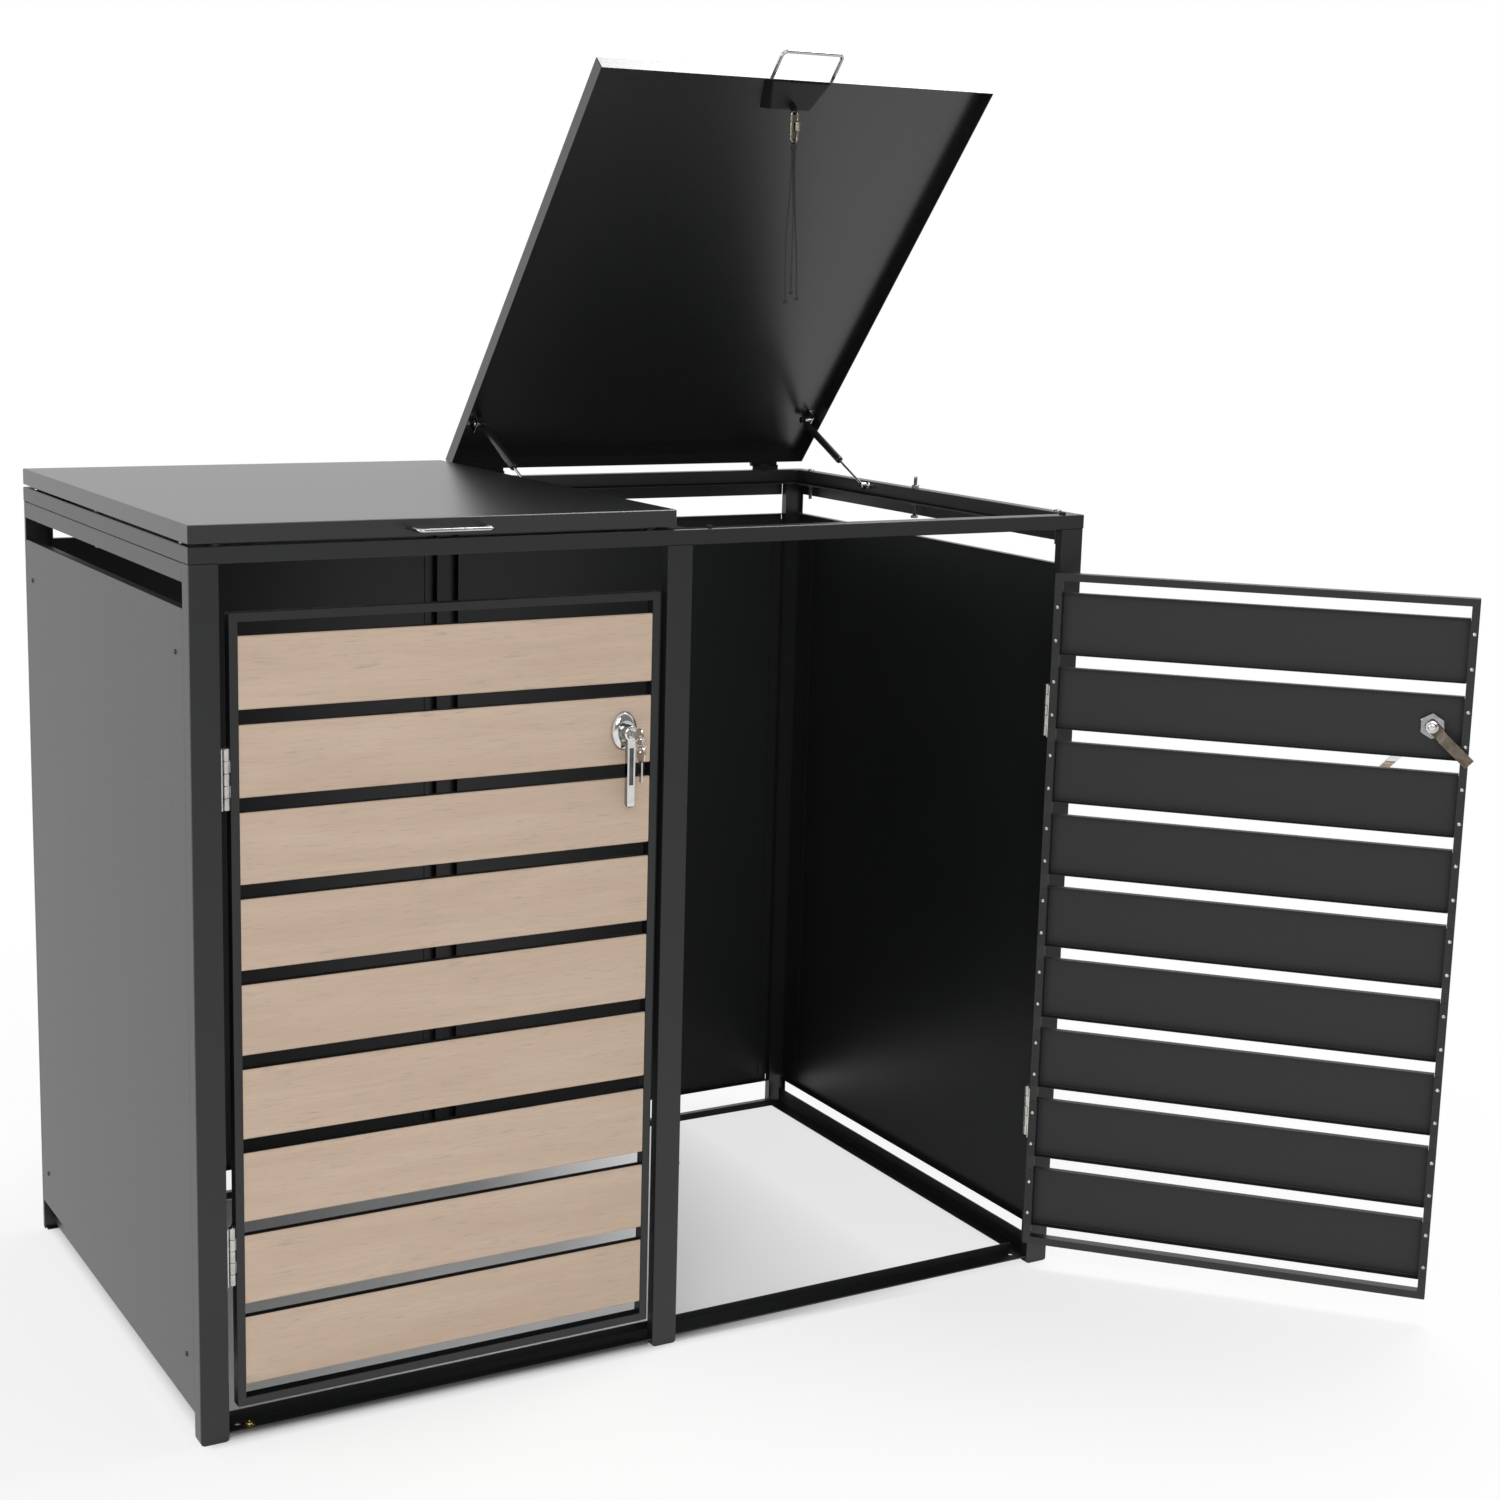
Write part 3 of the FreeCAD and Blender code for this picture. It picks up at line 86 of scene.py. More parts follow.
# Directions, and the middle of a lid from the store's own middle
alongX, alongY, alongZ = (1.0, 0.0, 0.0), (0.0, 1.0, 0.0), (0.0, 0.0, 1.0)
origin = (0.0, 0.0, 0.0)
lidMiddle = 0.336


# Modelling steps that the pieces share
def toMode(mode):
    bpy.ops.object.mode_set(mode=mode)


def selectMesh(action):
    bpy.ops.mesh.select_all(action=action)


def deselectAll():
    if bpy.context.object and bpy.context.object.mode != "OBJECT":
        toMode("OBJECT")
    bpy.ops.object.select_all(action="DESELECT")


def pick(piece):
    deselectAll()
    piece.select_set(True)
    bpy.context.view_layer.objects.active = piece


def applyPlace(piece):
    pick(piece)
    bpy.ops.object.transform_apply(location=True, rotation=True, scale=True)


def editAll(piece):
    pick(piece)
    toMode("EDIT")
    selectMesh("SELECT")


def clearPicks(piece, kind):
    editAll(piece)
    bpy.ops.mesh.select_mode(type=kind)
    selectMesh("DESELECT")
    toMode("OBJECT")


def pickWhere(piece, test):
    clearPicks(piece, "VERT")
    for vertex in piece.data.vertices:
        vertex.select = test(vertex.co)
    toMode("EDIT")


def resizeWhere(piece, test, shares, centre):
    pickWhere(piece, test)
    bpy.ops.transform.resize(value=shares, center_override=centre)
    toMode("OBJECT")


def shiftWhere(piece, test, step):
    pickWhere(piece, test)
    bpy.ops.transform.translate(value=step)
    toMode("OBJECT")


def closedUp(piece):
    selectMesh("SELECT")
    bpy.ops.mesh.normals_make_consistent(inside=False)
    toMode("OBJECT")
    return piece


def justMade(name):
    piece = bpy.context.active_object
    piece.name = name
    return piece


# a turned piece: a disc drawn up ring by ring; each ring is a height and one or two half widths;
# a bored one starts as an open circle, and its last ring comes back to the first
def turnedPiece(name, rings, sides=32, bored=False):
    deselectAll()
    high, wide, deep = rings[0][0], rings[0][1], rings[0][-1]
    bpy.ops.mesh.primitive_circle_add(vertices=sides, radius=1.0, fill_type="NOTHING" if bored else "NGON",
                                      location=(0.0, 0.0, high))
    piece = justMade(name)
    piece.scale = (wide, deep, 1.0)
    applyPlace(piece)
    drawRings(rings + rings[:1] if bored else rings)
    selectMesh("SELECT")
    if bored:
        bpy.ops.mesh.remove_doubles(threshold=0.000002)
    return closedUp(piece)


def drawRings(rings):
    toMode("EDIT")
    selectMesh("SELECT")
    for before, after in zip(rings, rings[1:]):
        lift = (0.0, 0.0, after[0] - before[0])
        bpy.ops.mesh.extrude_region_move(TRANSFORM_OT_translate={"value": lift})
        shares = (after[1] / before[1], after[-1] / before[-1], 1.0)
        bpy.ops.transform.resize(value=shares, center_override=(0.0, 0.0, after[0]))


def soften(piece, width, segments=2, angle=35.0):
    pick(piece)
    edge = piece.modifiers.new("soft", "BEVEL")
    edge.width = width
    edge.segments = segments
    edge.limit_method = "ANGLE"
    edge.angle_limit = math.radians(angle)
    bpy.ops.object.modifier_apply(modifier=edge.name)
    return piece


# a plate between two corners with softened edges
def plate(name, low, high, soft=0.0004):
    deselectAll()
    middle = [(a + b) / 2 for a, b in zip(low, high)]
    bpy.ops.mesh.primitive_cube_add(size=1.0, location=middle)
    piece = justMade(name)
    piece.scale = [abs(b - a) for a, b in zip(low, high)]
    applyPlace(piece)
    return soften(piece, soft) if soft else piece


# a round bar: a ring drawn along straight runs and spun round bends (a spin turns the other way)
def bentBar(name, radius, start, heading, steps, sides=16, endless=False):
    deselectAll()
    bpy.ops.mesh.primitive_circle_add(vertices=sides, radius=radius, fill_type="NOTHING")
    piece = justMade(name)
    piece.rotation_euler = Vector(heading).to_track_quat("Z", "Y").to_euler()
    piece.location = start
    applyPlace(piece)
    toMode("EDIT")
    selectMesh("SELECT")
    for kind, *values in steps:
        if kind == "run":
            bpy.ops.mesh.extrude_region_move(TRANSFORM_OT_translate={"value": values[0]})
        else:
            centre, axis, degrees, count = values
            bpy.ops.mesh.spin(steps=count, dupli=False, angle=-math.radians(degrees), center=centre,
                              axis=axis)
    selectMesh("SELECT")
    bpy.ops.mesh.remove_doubles(threshold=0.00002)
    if not endless:
        selectMesh("DESELECT")
        bpy.ops.mesh.select_mode(type="VERT")
        bpy.ops.mesh.select_non_manifold()
        bpy.ops.mesh.fill_holes(sides=0)
    return closedUp(piece)


def wireRing(name, centre, axis, radius, wire, sides=12, count=40):
    deselectAll()
    bpy.ops.mesh.primitive_torus_add(major_radius=radius, minor_radius=wire, major_segments=count,
                                     minor_segments=sides)
    return stood(justMade(name), centre, axis)


def hexPiece(name, low, high, flat):
    corner = flat / 2 / math.cos(math.radians(30))
    chamfer = 0.08 * flat
    rings = [(low, corner * 0.9), (low + chamfer / 2, corner), (high - chamfer / 2, corner),
             (high, corner * 0.9)]
    return turnedPiece(name, rings, 6)


def threaded(name, low, high, radius, pitch=0.001):
    rings = [(low, radius * 0.84), (low + pitch, radius)]
    count = int((high - low) / pitch) - 2
    for number in range(1, count):
        rings.append((low + pitch * (number + 0.5), radius * 0.88))
        rings.append((low + pitch * (number + 1), radius))
    rings.append((high, radius * 0.84))
    return turnedPiece(name, rings, 14)


# from its own upright place to where it stands
def stood(piece, base, way):
    piece.rotation_euler = Vector(way).to_track_quat("Z", "Y").to_euler()
    piece.location = base
    applyPlace(piece)
    return piece


def moved(piece, step):
    piece.location = step
    applyPlace(piece)
    return piece


def copied(piece, name):
    twin = piece.copy()
    twin.data = piece.data.copy()
    twin.name = name
    scene.collection.objects.link(twin)
    return twin


def mirrored(piece, name, planeX=0.0):
    twin = copied(piece, name)
    twin.scale = (-1.0, 1.0, 1.0)
    twin.location = (2 * planeX, 0.0, 0.0)
    applyPlace(twin)
    editAll(twin)
    return closedUp(twin)


def turnedAbout(piece, pivot, axis, degrees):
    swing = Matrix.Rotation(math.radians(degrees), 4, Vector(axis))
    piece.matrix_world = Matrix.Translation(pivot) @ swing @ Matrix.Translation(-Vector(pivot))
    applyPlace(piece)
    return piece


def joined(name, pieces):
    deselectAll()
    for piece in pieces:
        piece.select_set(True)
    bpy.context.view_layer.objects.active = pieces[0]
    if len(pieces) > 1:
        bpy.ops.object.join()
    whole = bpy.context.active_object
    whole.name = name
    return whole


def bothSides(name, pieces):
    half = joined(name, pieces)
    return joined(name, [half, mirrored(half, name + "Right")])


def combined(piece, other, operation):
    pick(piece)
    step = piece.modifiers.new("combined", "BOOLEAN")
    step.operation = operation
    step.solver = "EXACT"
    step.object = other
    bpy.ops.object.modifier_apply(modifier=step.name)
    bpy.data.objects.remove(other, do_unlink=True)
    return piece


def cutOut(piece, cutter):
    return combined(piece, cutter, "DIFFERENCE")


madePieces = {}


# a finished piece takes over from its solid: same body, same finish
def stands(piece, node, smoothTo=38.0):
    pick(piece)
    bpy.ops.object.shade_smooth_by_angle(angle=math.radians(smoothTo))
    # broad faces stay flat: the narrow soft edges take the whole turn
    weighted = piece.modifiers.new("flatFaces", "WEIGHTED_NORMAL")
    weighted.mode = "FACE_AREA"
    weighted.weight = 100
    weighted.keep_sharp = True
    bpy.ops.object.modifier_apply(modifier=weighted.name)
    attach(piece, bodyOf[node])
    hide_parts(node)
    madePieces[node] = piece
    return piece


# Pairs are made shut on the left, and the right ones are mirrored and opened
opened = {
    "lidPivot": (0.0, 0.402, 1.155),
    "lidAngle": 48.9,
    "doorPivot": (0.6195, -0.3875, 0.0),
    "doorAngle": 133.0,
}


def lidOpened(piece):
    return turnedAbout(piece, opened["lidPivot"], (-1.0, 0.0, 0.0), opened["lidAngle"])


def doorOpened(piece):
    return turnedAbout(piece, opened["doorPivot"], alongZ, opened["doorAngle"])


def standPair(piece, name, opening, node):
    right = opening(mirrored(piece, "right" + name))
    piece.name = "left" + name
    stands(piece, "left_" + node)
    stands(right, "right_" + node)


# Cords: three strands under the lifting link, each one smooth line from the tie to its knot
cords = {
    "radius": 0.0012,
    "section": 0.1,
    "eyeY": -0.0943952,
    "strandTop": 1.6571376,
    "pitch": 0.0026,
    "routes": {
        "left_cord": (-1, [(0.0, 0.0, 0.0), (0.0, 0.0, -48.0), (-4.6, 1.8, -106.0), (-7.4, -1.4, -163.0),
                           (-6.6, -3.6, -216.0)]),
        "middle_cord": (0, [(0.0, 0.0, 0.0), (0.0, 0.0, -44.0), (1.2, -3.4, -100.0), (-0.8, -5.2, -154.0),
                            (0.6, -3.4, -203.0)]),
        "right_cord": (1, [(0.0, 0.0, 0.0), (0.0, 0.0, -46.0), (5.0, 2.2, -103.0), (8.6, 0.2, -159.0),
                           (8.0, -2.6, -211.0)]),
    },
}


def cordPoints(place, route):
    start = Vector((lidMiddle + place * cords["pitch"], cords["eyeY"], cords["strandTop"]))
    return [start + Vector(step) / 1000 for step in route]


def cordLine(name, points):
    line = bpy.data.curves.new(name, "CURVE")
    line.dimensions = "3D"
    spline = line.splines.new("NURBS")
    spline.points.add(len(points) - 1)
    for held, point in zip(spline.points, points):
        held.co = (*point, 1.0)
        held.radius = cords["radius"] / cords["section"]
    spline.order_u = 3
    spline.use_endpoint_u = True
    spline.resolution_u = 12
    line.bevel_depth = cords["section"]
    line.bevel_resolution = 4
    line.use_fill_caps = True
    made = bpy.data.objects.new(name, line)
    scene.collection.objects.link(made)
    return made


cordRoutes = {node: cordPoints(place, route) for node, (place, route) in cords["routes"].items()}


# Building blocks of the materials
def give(tree, value, socket):
    if isinstance(value, (int, float)):
        socket.default_value = value
    elif isinstance(value, tuple):
        socket.default_value = (*value, 1.0)
    else:
        tree.links.new(value, socket)


def feed(tree, node, values):
    for label, value in values.items():
        give(tree, value, node.inputs[label])


def mathNode(tree, operation, first, second=None, clamp=False):
    node = tree.nodes.new("ShaderNodeMath")
    node.operation = operation
    node.use_clamp = clamp
    for slot, value in enumerate((first, second)):
        if value is not None:
            give(tree, value, node.inputs[slot])
    return node.outputs[0]


def noiseNode(tree, vector, scale, detail=4.0, roughness=0.55, distortion=0.0):
    node = tree.nodes.new("ShaderNodeTexNoise")
    feed(tree, node, {"Vector": vector, "Scale": scale, "Detail": detail, "Roughness": roughness,
                      "Distortion": distortion})
    return node.outputs["Fac"]


def rangeNode(tree, value, fromLow, fromHigh, toLow, toHigh, curve="LINEAR"):
    node = tree.nodes.new("ShaderNodeMapRange")
    node.interpolation_type = curve
    feed(tree, node, {"Value": value, "From Min": fromLow, "From Max": fromHigh, "To Min": toLow,
                      "To Max": toHigh})
    return node.outputs["Result"]


def mixColour(tree, factor, first, second):
    node = tree.nodes.new("ShaderNodeMix")
    node.data_type = "RGBA"
    for label, value in (("Factor", factor), ("A", first), ("B", second)):
        give(tree, value, [socket for socket in node.inputs if socket.name == label and socket.enabled][0])
    return [socket for socket in node.outputs if socket.enabled][0]


def mapped(tree, vector, kind="POINT", **values):
    node = tree.nodes.new("ShaderNodeMapping")
    node.vector_type = kind
    tree.links.new(vector, node.inputs["Vector"])
    for label, value in values.items():
        node.inputs[label].default_value = value
    return node.outputs["Vector"]


def parted(tree, vector):
    node = tree.nodes.new("ShaderNodeSeparateXYZ")
    tree.links.new(vector, node.inputs[0])
    return node.outputs


def bumpNode(tree, strength, distance, height):
    node = tree.nodes.new("ShaderNodeBump")
    feed(tree, node, {"Strength": strength, "Distance": distance, "Height": height})
    return node.outputs["Normal"]


def mixSurface(tree, factor, first, second, end):
    node = tree.nodes.new("ShaderNodeMixShader")
    for slot, value in enumerate((factor, first.outputs[0], second.outputs[0])):
        tree.links.new(value, node.inputs[slot])
    tree.links.new(node.outputs[0], tree.nodes[end].inputs["Surface"])


# Shared effects as node groups: a place and a strength go in, two shades and a normal come out
def newGroup(name, strength, shades):
    group = bpy.data.node_groups.new(name, "ShaderNodeTree")
    sockets = [("Vector", "INPUT", "Vector"), (strength, "INPUT", "Float")]
    sockets += [(shade, "OUTPUT", "Float") for shade in shades] + [("Normal", "OUTPUT", "Vector")]
    for label, way, kind in sockets:
        group.interface.new_socket(label, in_out=way, socket_type="NodeSocket" + kind)
    return group, group.nodes.new("NodeGroupInput"), group.nodes.new("NodeGroupOutput")


def coatGroup():
    # fine powder peel for the normal, slow drift for colour and gloss
    group, given, put = newGroup("powderPeel", "Peel", ("Drift", "Speck"))
    vector = given.outputs["Vector"]
    grain = mathNode(group, "MULTIPLY", noiseNode(group, vector, 1500.0, 2.0, 0.6), 0.5)
    waves = mathNode(group, "MULTIPLY", noiseNode(group, vector, 260.0, 2.0, 0.5), 0.5)
    normal = bumpNode(group, given.outputs["Peel"], 0.0004, mathNode(group, "ADD", grain, waves))
    feed(group, put, {"Drift": noiseNode(group, vector, 2.3, 3.0, 0.5),
                      "Speck": noiseNode(group, vector, 900.0, 1.0, 0.5), "Normal": normal})
    return group


def brushGroup():
    # fine lines along one way, with a few faint handling marks
    group, given, put = newGroup("brushedLines", "Depth", ("Lines", "Marks"))
    vector = given.outputs["Vector"]
    lines = noiseNode(group, mapped(group, vector, Scale=(20.0, 900.0, 900.0)), 1.0, 3.0, 0.6)
    marks = noiseNode(group, vector, 60.0, 4.0, 0.6, 0.4)
    normal = bumpNode(group, given.outputs["Depth"], 0.0002, lines)
    feed(group, put, {"Lines": lines, "Marks": marks, "Normal": normal})
    return group


powderPeel = coatGroup()
brushedLines = brushGroup()


def newMaterial(name):
    material = bpy.data.materials.new(name)
    material.use_nodes = True
    tree = material.node_tree
    return material, tree, tree.nodes["Principled BSDF"], tree.nodes.new("ShaderNodeTexCoord")


def placeGroup(tree, group, vector, **values):
    node = tree.nodes.new("ShaderNodeGroup")
    node.node_tree = group
    feed(tree, node, {"Vector": vector, **values})
    return node.outputs


def grey(level):
    return (level, level, level)


# Painted steel: satin powder coat on the sheet, gloss paint on the tubes, dull rubber
coats = {
    "anthracite": {"colour": (0.0075, 0.0082, 0.0084), "light": (0.0110, 0.0118, 0.0120),
                   "gloss": (0.33, 0.41), "peel": 0.09, "shine": 0.50},
    "lid_coat": {"colour": (0.0055, 0.0060, 0.0068), "light": (0.0085, 0.0090, 0.0100),
                 "gloss": (0.27, 0.33), "peel": 0.05, "shine": 0.76},
    "black_steel": {"colour": (0.0070, 0.0070, 0.0075), "light": (0.0120, 0.0120, 0.0125),
                    "gloss": (0.40, 0.52), "peel": 0.12, "shine": 0.30},
    "strut_tube": {"colour": grey(0.008), "light": grey(0.013), "gloss": (0.20, 0.30), "peel": 0.03,
                   "shine": 0.50},
    "rubber": {"colour": grey(0.014), "light": grey(0.026), "gloss": (0.75, 0.90), "peel": 0.25,
               "shine": 0.12},
}


def coatMaterial(name):
    values = coats[name]
    material, tree, shader, coords = newMaterial(name)
    peel = placeGroup(tree, powderPeel, coords.outputs["Object"], Peel=values["peel"])
    drift = rangeNode(tree, peel["Drift"], 0.3, 0.7, 0.0, 1.0)
    feed(tree, shader, {"Base Color": mixColour(tree, drift, values["colour"], values["light"]),
                        "Roughness": rangeNode(tree, peel["Speck"], 0.3, 0.7, *values["gloss"]),
                        "Normal": peel["Normal"], "Specular IOR Level": values["shine"]})
    return material


# Bare and plated metal; a painted dark reflection is the share and the colour that faces turned from the eye
# take in their base colour
metals = {
    "satin_steel": {"colour": grey(0.46), "light": grey(0.60), "gloss": (0.16, 0.26), "depth": 0.04,
                    "paintedDarkReflection": (0.85, (0.040, 0.038, 0.036))},
    "zinc": {"colour": (0.44, 0.43, 0.41), "light": (0.62, 0.61, 0.58), "gloss": (0.20, 0.34),
             "depth": 0.08},
    "dull_zinc": {"colour": (0.18, 0.18, 0.17), "light": (0.32, 0.31, 0.29), "gloss": (0.30, 0.44),
                  "depth": 0.10},
    "gilt_zinc": {"colour": (0.22, 0.19, 0.13), "light": (0.50, 0.45, 0.35), "gloss": (0.16, 0.28),
                  "depth": 0.08, "paintedDarkReflection": (0.85, (0.030, 0.027, 0.020))},
    "nut_plate": {"colour": grey(0.24), "light": (0.42, 0.42, 0.41), "gloss": (0.12, 0.24), "depth": 0.05},
    "ball_steel": {"colour": grey(0.66), "light": grey(0.80), "gloss": (0.14, 0.24), "depth": 0.03,
                   "paintedDarkReflection": (0.80, grey(0.060))},
    "bright_nickel": {"colour": (0.64, 0.64, 0.63), "light": (0.76, 0.76, 0.75), "gloss": (0.05, 0.11),
                      "depth": 0.01, "paintedDarkReflection": (0.92, (0.035, 0.035, 0.036))},
    "nickel_bar": {"colour": (0.090, 0.075, 0.055), "light": (0.210, 0.180, 0.140), "gloss": (0.24, 0.36),
                   "depth": 0.15},
    "key_steel": {"colour": (0.52, 0.51, 0.49), "light": (0.74, 0.73, 0.70), "gloss": (0.16, 0.28),
                  "depth": 0.10, "paintedDarkReflection": (0.75, (0.110, 0.095, 0.080))},
    "brass": {"colour": (0.50, 0.34, 0.09), "light": (0.72, 0.54, 0.19), "gloss": (0.20, 0.34),
              "depth": 0.08},
    "strut_rod": {"colour": grey(0.56), "light": grey(0.68), "gloss": (0.06, 0.12), "depth": 0.03},
    "lever_strip": {"colour": (0.085, 0.087, 0.095), "light": (0.150, 0.152, 0.160), "gloss": (0.30, 0.40),
                    "depth": 0.20},
}


def metalMaterial(name):
    values = metals[name]
    material, tree, shader, coords = newMaterial(name)
    brush = placeGroup(tree, brushedLines, coords.outputs["Object"], Depth=values["depth"])
    marks = rangeNode(tree, brush["Marks"], 0.35, 0.7, 0.0, 1.0)
    colour = mixColour(tree, marks, values["light"], values["colour"])
    if "paintedDarkReflection" in values:
        # painted reflection: plated faces that turn away from the eye are painted toward the dark of the
        # room
        weight = tree.nodes.new("ShaderNodeLayerWeight")
        weight.inputs["Blend"].default_value = 0.5
        share, dark = values["paintedDarkReflection"]
        turned = rangeNode(tree, weight.outputs["Facing"], 0.30, 0.72, 0.0, share)
        colour = mixColour(tree, turned, colour, dark)
    feed(tree, shader, {"Base Color": colour, "Metallic": 1.0, "Normal": brush["Normal"],
                        "Roughness": rangeNode(tree, brush["Lines"], 0.3, 0.7, *values["gloss"])})
    return material


# Boards: oak outside with the grain along the board, anthracite inside the folds
boards = {
    "pale": (0.580, 0.447, 0.346),
    "mid": (0.512, 0.385, 0.288),
    "dark": (0.307, 0.219, 0.154),
    "fleck": (0.280, 0.240, 0.205),
    "pitch": 0.1095,
    "firstMiddle": 0.99025,
    # each layer: its stretch, its noise, the part of the noise that shows, its share and its colour
    "layers": (((3.2, 3.2, 34.0), (5.0, 0.62, 0.5), (0.35, 0.68), 1.0, "mid"),
               ((14.0, 14.0, 420.0), (4.0, 0.65, 0.2), (0.42, 0.75), 0.60, "mid"),
               ((22.0, 22.0, 170.0), (3.0, 0.6, 0.0), (0.60, 0.74), 0.34, "fleck"),
               ((40.0, 40.0, 900.0), (2.0, 0.5, 0.0), (0.60, 0.80), 0.60, "dark")),
}


def boardMaterial(name, isOpen):
    material, tree, shader, coords = newMaterial(name)
    place, facing = coords.outputs["Object"], coords.outputs["Normal"]
    if isOpen:
        # bring the open door's pattern back to where it lies when shut
        back = Euler((0.0, 0.0, -math.radians(opened["doorAngle"])), "XYZ")
        hinge = Vector(opened["doorPivot"])
        place = mapped(tree, place, Rotation=back, Location=hinge - back.to_matrix() @ hinge)
        facing = mapped(tree, facing, "VECTOR", Rotation=back)
    # each board is its own length of timber: the level shifts the grain
    top = boards["firstMiddle"] + boards["pitch"] / 2
    depth = mathNode(tree, "SUBTRACT", top, parted(tree, place)["Z"])
    number = mathNode(tree, "FLOOR", mathNode(tree, "DIVIDE", depth, boards["pitch"]))
    shift = tree.nodes.new("ShaderNodeCombineXYZ")
    feed(tree, shift, {"X": mathNode(tree, "MULTIPLY", number, 1.73),
                       "Z": mathNode(tree, "MULTIPLY", number, 0.61)})
    shifted = tree.nodes.new("ShaderNodeVectorMath")
    shifted.operation = "ADD"
    tree.links.new(place, shifted.inputs[0])
    tree.links.new(shift.outputs[0], shifted.inputs[1])
    # broad flame, fine fibre, flecks and short pores
    tone = boards["pale"]
    for stretch, noise, shown, share, colour in boards["layers"]:
        grain = noiseNode(tree, mapped(tree, shifted.outputs[0], Scale=stretch), 1.0, *noise)
        tone = mixColour(tree, rangeNode(tree, grain, *shown, 0.0, share), tone, boards[colour])
    outside = mathNode(tree, "GREATER_THAN", mathNode(tree, "MULTIPLY", parted(tree, facing)["Y"], -1.0),
                       0.55)
    peel = placeGroup(tree, powderPeel, coords.outputs["Object"], Peel=0.06)
    feed(tree, shader, {"Base Color": mixColour(tree, outside, coats["anthracite"]["colour"], tone),
                        "Normal": peel["Normal"],
                        "Roughness": rangeNode(tree, peel["Speck"], 0.3, 0.7, 0.46, 0.58)})
    return material


# Cord: black yarn; the bands that raise the strands also paint the grooves between them darker, a painted
# shade
yarnAndGrooveShade = {"colour": (0.012, 0.012, 0.013), "light": (0.045, 0.045, 0.048)}


def cordMaterial(name):
    material, tree, shader, coords = newMaterial(name)
    wave = tree.nodes.new("ShaderNodeTexWave")
    wave.wave_type = "BANDS"
    wave.bands_direction = "DIAGONAL"
    feed(tree, wave, {"Vector": coords.outputs["Object"], "Scale": 260.0, "Distortion": 1.5})
    strands = wave.outputs["Fac"]
    fibre = noiseNode(tree, coords.outputs["Object"], 3000.0, 3.0, 0.6)
    height = mathNode(tree, "ADD", strands, mathNode(tree, "MULTIPLY", fibre, 0.4))
    # the strand bands set the colour too: lighter crests, painted shade in the grooves
    feed(tree, shader, {"Base Color": mixColour(tree, strands, yarnAndGrooveShade["colour"], yarnAndGrooveShade["light"]),
                        "Normal": bumpNode(tree, 0.6, 0.0004, height),
                        "Roughness": rangeNode(tree, fibre, 0.3, 0.7, 0.75, 0.95)})
    return material


materials = {name: coatMaterial(name) for name in coats}
materials.update({name: metalMaterial(name) for name in metals})
materials["cord"] = cordMaterial("cord")
oak = {"left_door_boards": boardMaterial("light_oak_left", False),
       "right_door_boards": boardMaterial("light_oak_right", True)}
print("materials made")


# Folded sheet and tube: the solids' own shapes with their edges softened
softEdges = {
    0.0005: ["left_lid", "right_lid"],
    0.0004: ["front_left_post", "front_middle_post", "front_right_post", "top_front_rail", "top_back_rail",
             "top_side_rails", "top_middle_rail", "left_door_frame", "right_door_frame"],
    0.0002: ["back_corner_posts", "back_middle_post", "left_wall", "right_wall", "top_strips", "back_walls",
             "bottom_front_rail", "bottom_back_rail", "bottom_side_rails", "left_door_boards",
             "right_door_boards"],
}


def cleanCopy(node):
    piece = copied(nodes[node], "soft_" + node)
    for key in list(piece.keys()):
        del piece[key]
    piece.parent = None
    editAll(piece)
    bpy.ops.mesh.remove_doubles(threshold=0.000005)
    bpy.ops.mesh.dissolve_limited(angle_limit=math.radians(1.0))
    toMode("OBJECT")
    return piece


def softEdged(node, width):
    piece = cleanCopy(node)
    soften(piece, width, 2, 30.0)
    return stands(piece, node, 35.0)


for softWidth, names in softEdges.items():
    for node in names:
        softEdged(node, softWidth)
print("sheet edges softened")


# Lid handles: a bent bar through the lid's front edge, held by two screws inside
lidHandle = {"centre": -lidMiddle, "width": 0.1, "reach": 0.04, "bend": 0.008, "bar": 0.0025,
             "front": -0.394, "level": 1.161, "inside": -0.3928, "screw": 0.0035}


def lidHandleBar():
    values = lidHandle
    left = values["centre"] - values["width"] / 2
    right = values["centre"] + values["width"] / 2
    far = values["front"] - values["reach"] + values["bend"]
    level = values["level"]
    bend = values["bend"]
    straight = values["reach"] - bend
    steps = [("run", (0.0, -straight, 0.0)), ("bend", (left + bend, far, level), alongZ, 90.0, 10),
             ("run", (values["width"] - 2 * bend, 0.0, 0.0)),
             ("bend", (right - bend, far, level), alongZ, 90.0, 10), ("run", (0.0, straight, 0.0))]
    bar = bentBar("handleBar", values["bar"], (left, values["front"], level), (0.0, -1.0, 0.0), steps, 24)
    pieces = [bar]
    for x in (left, right):
        screw = panHead("handleScrew", values["screw"], 0.0028)
        pieces.append(stood(screw, (x, values["inside"], level), alongY))
    return joined("lidHandle", pieces)


# a low round head with a drive socket in it
def panHead(name, radius, height, sides=20):
    shares = ((0.0, 1.0), (0.3, 1.0), (0.62, 0.9), (0.86, 0.72), (1.0, 0.46), (1.0, 0.34), (0.6, 0.28))
    return turnedPiece(name, [(height * rise, radius * wide) for rise, wide in shares], sides)


def domeHead(name, radius, height, sides=16):
    shares = ((0.0, 1.0), (0.35, 0.96), (0.72, 0.76), (0.93, 0.45), (1.0, 0.16))
    return turnedPiece(name, [(height * rise, radius * wide) for rise, wide in shares], sides)


standPair(lidHandleBar(), "LidHandle", lidOpened, "lid_handle")
print("lid handles made")


# Fixings of the boards: two domes at each board end
boardFixing = {"columns": (-0.6085, -0.031), "surface": -0.3712, "count": 9, "spread": 0.0245,
               "radius": 0.003, "height": 0.002}


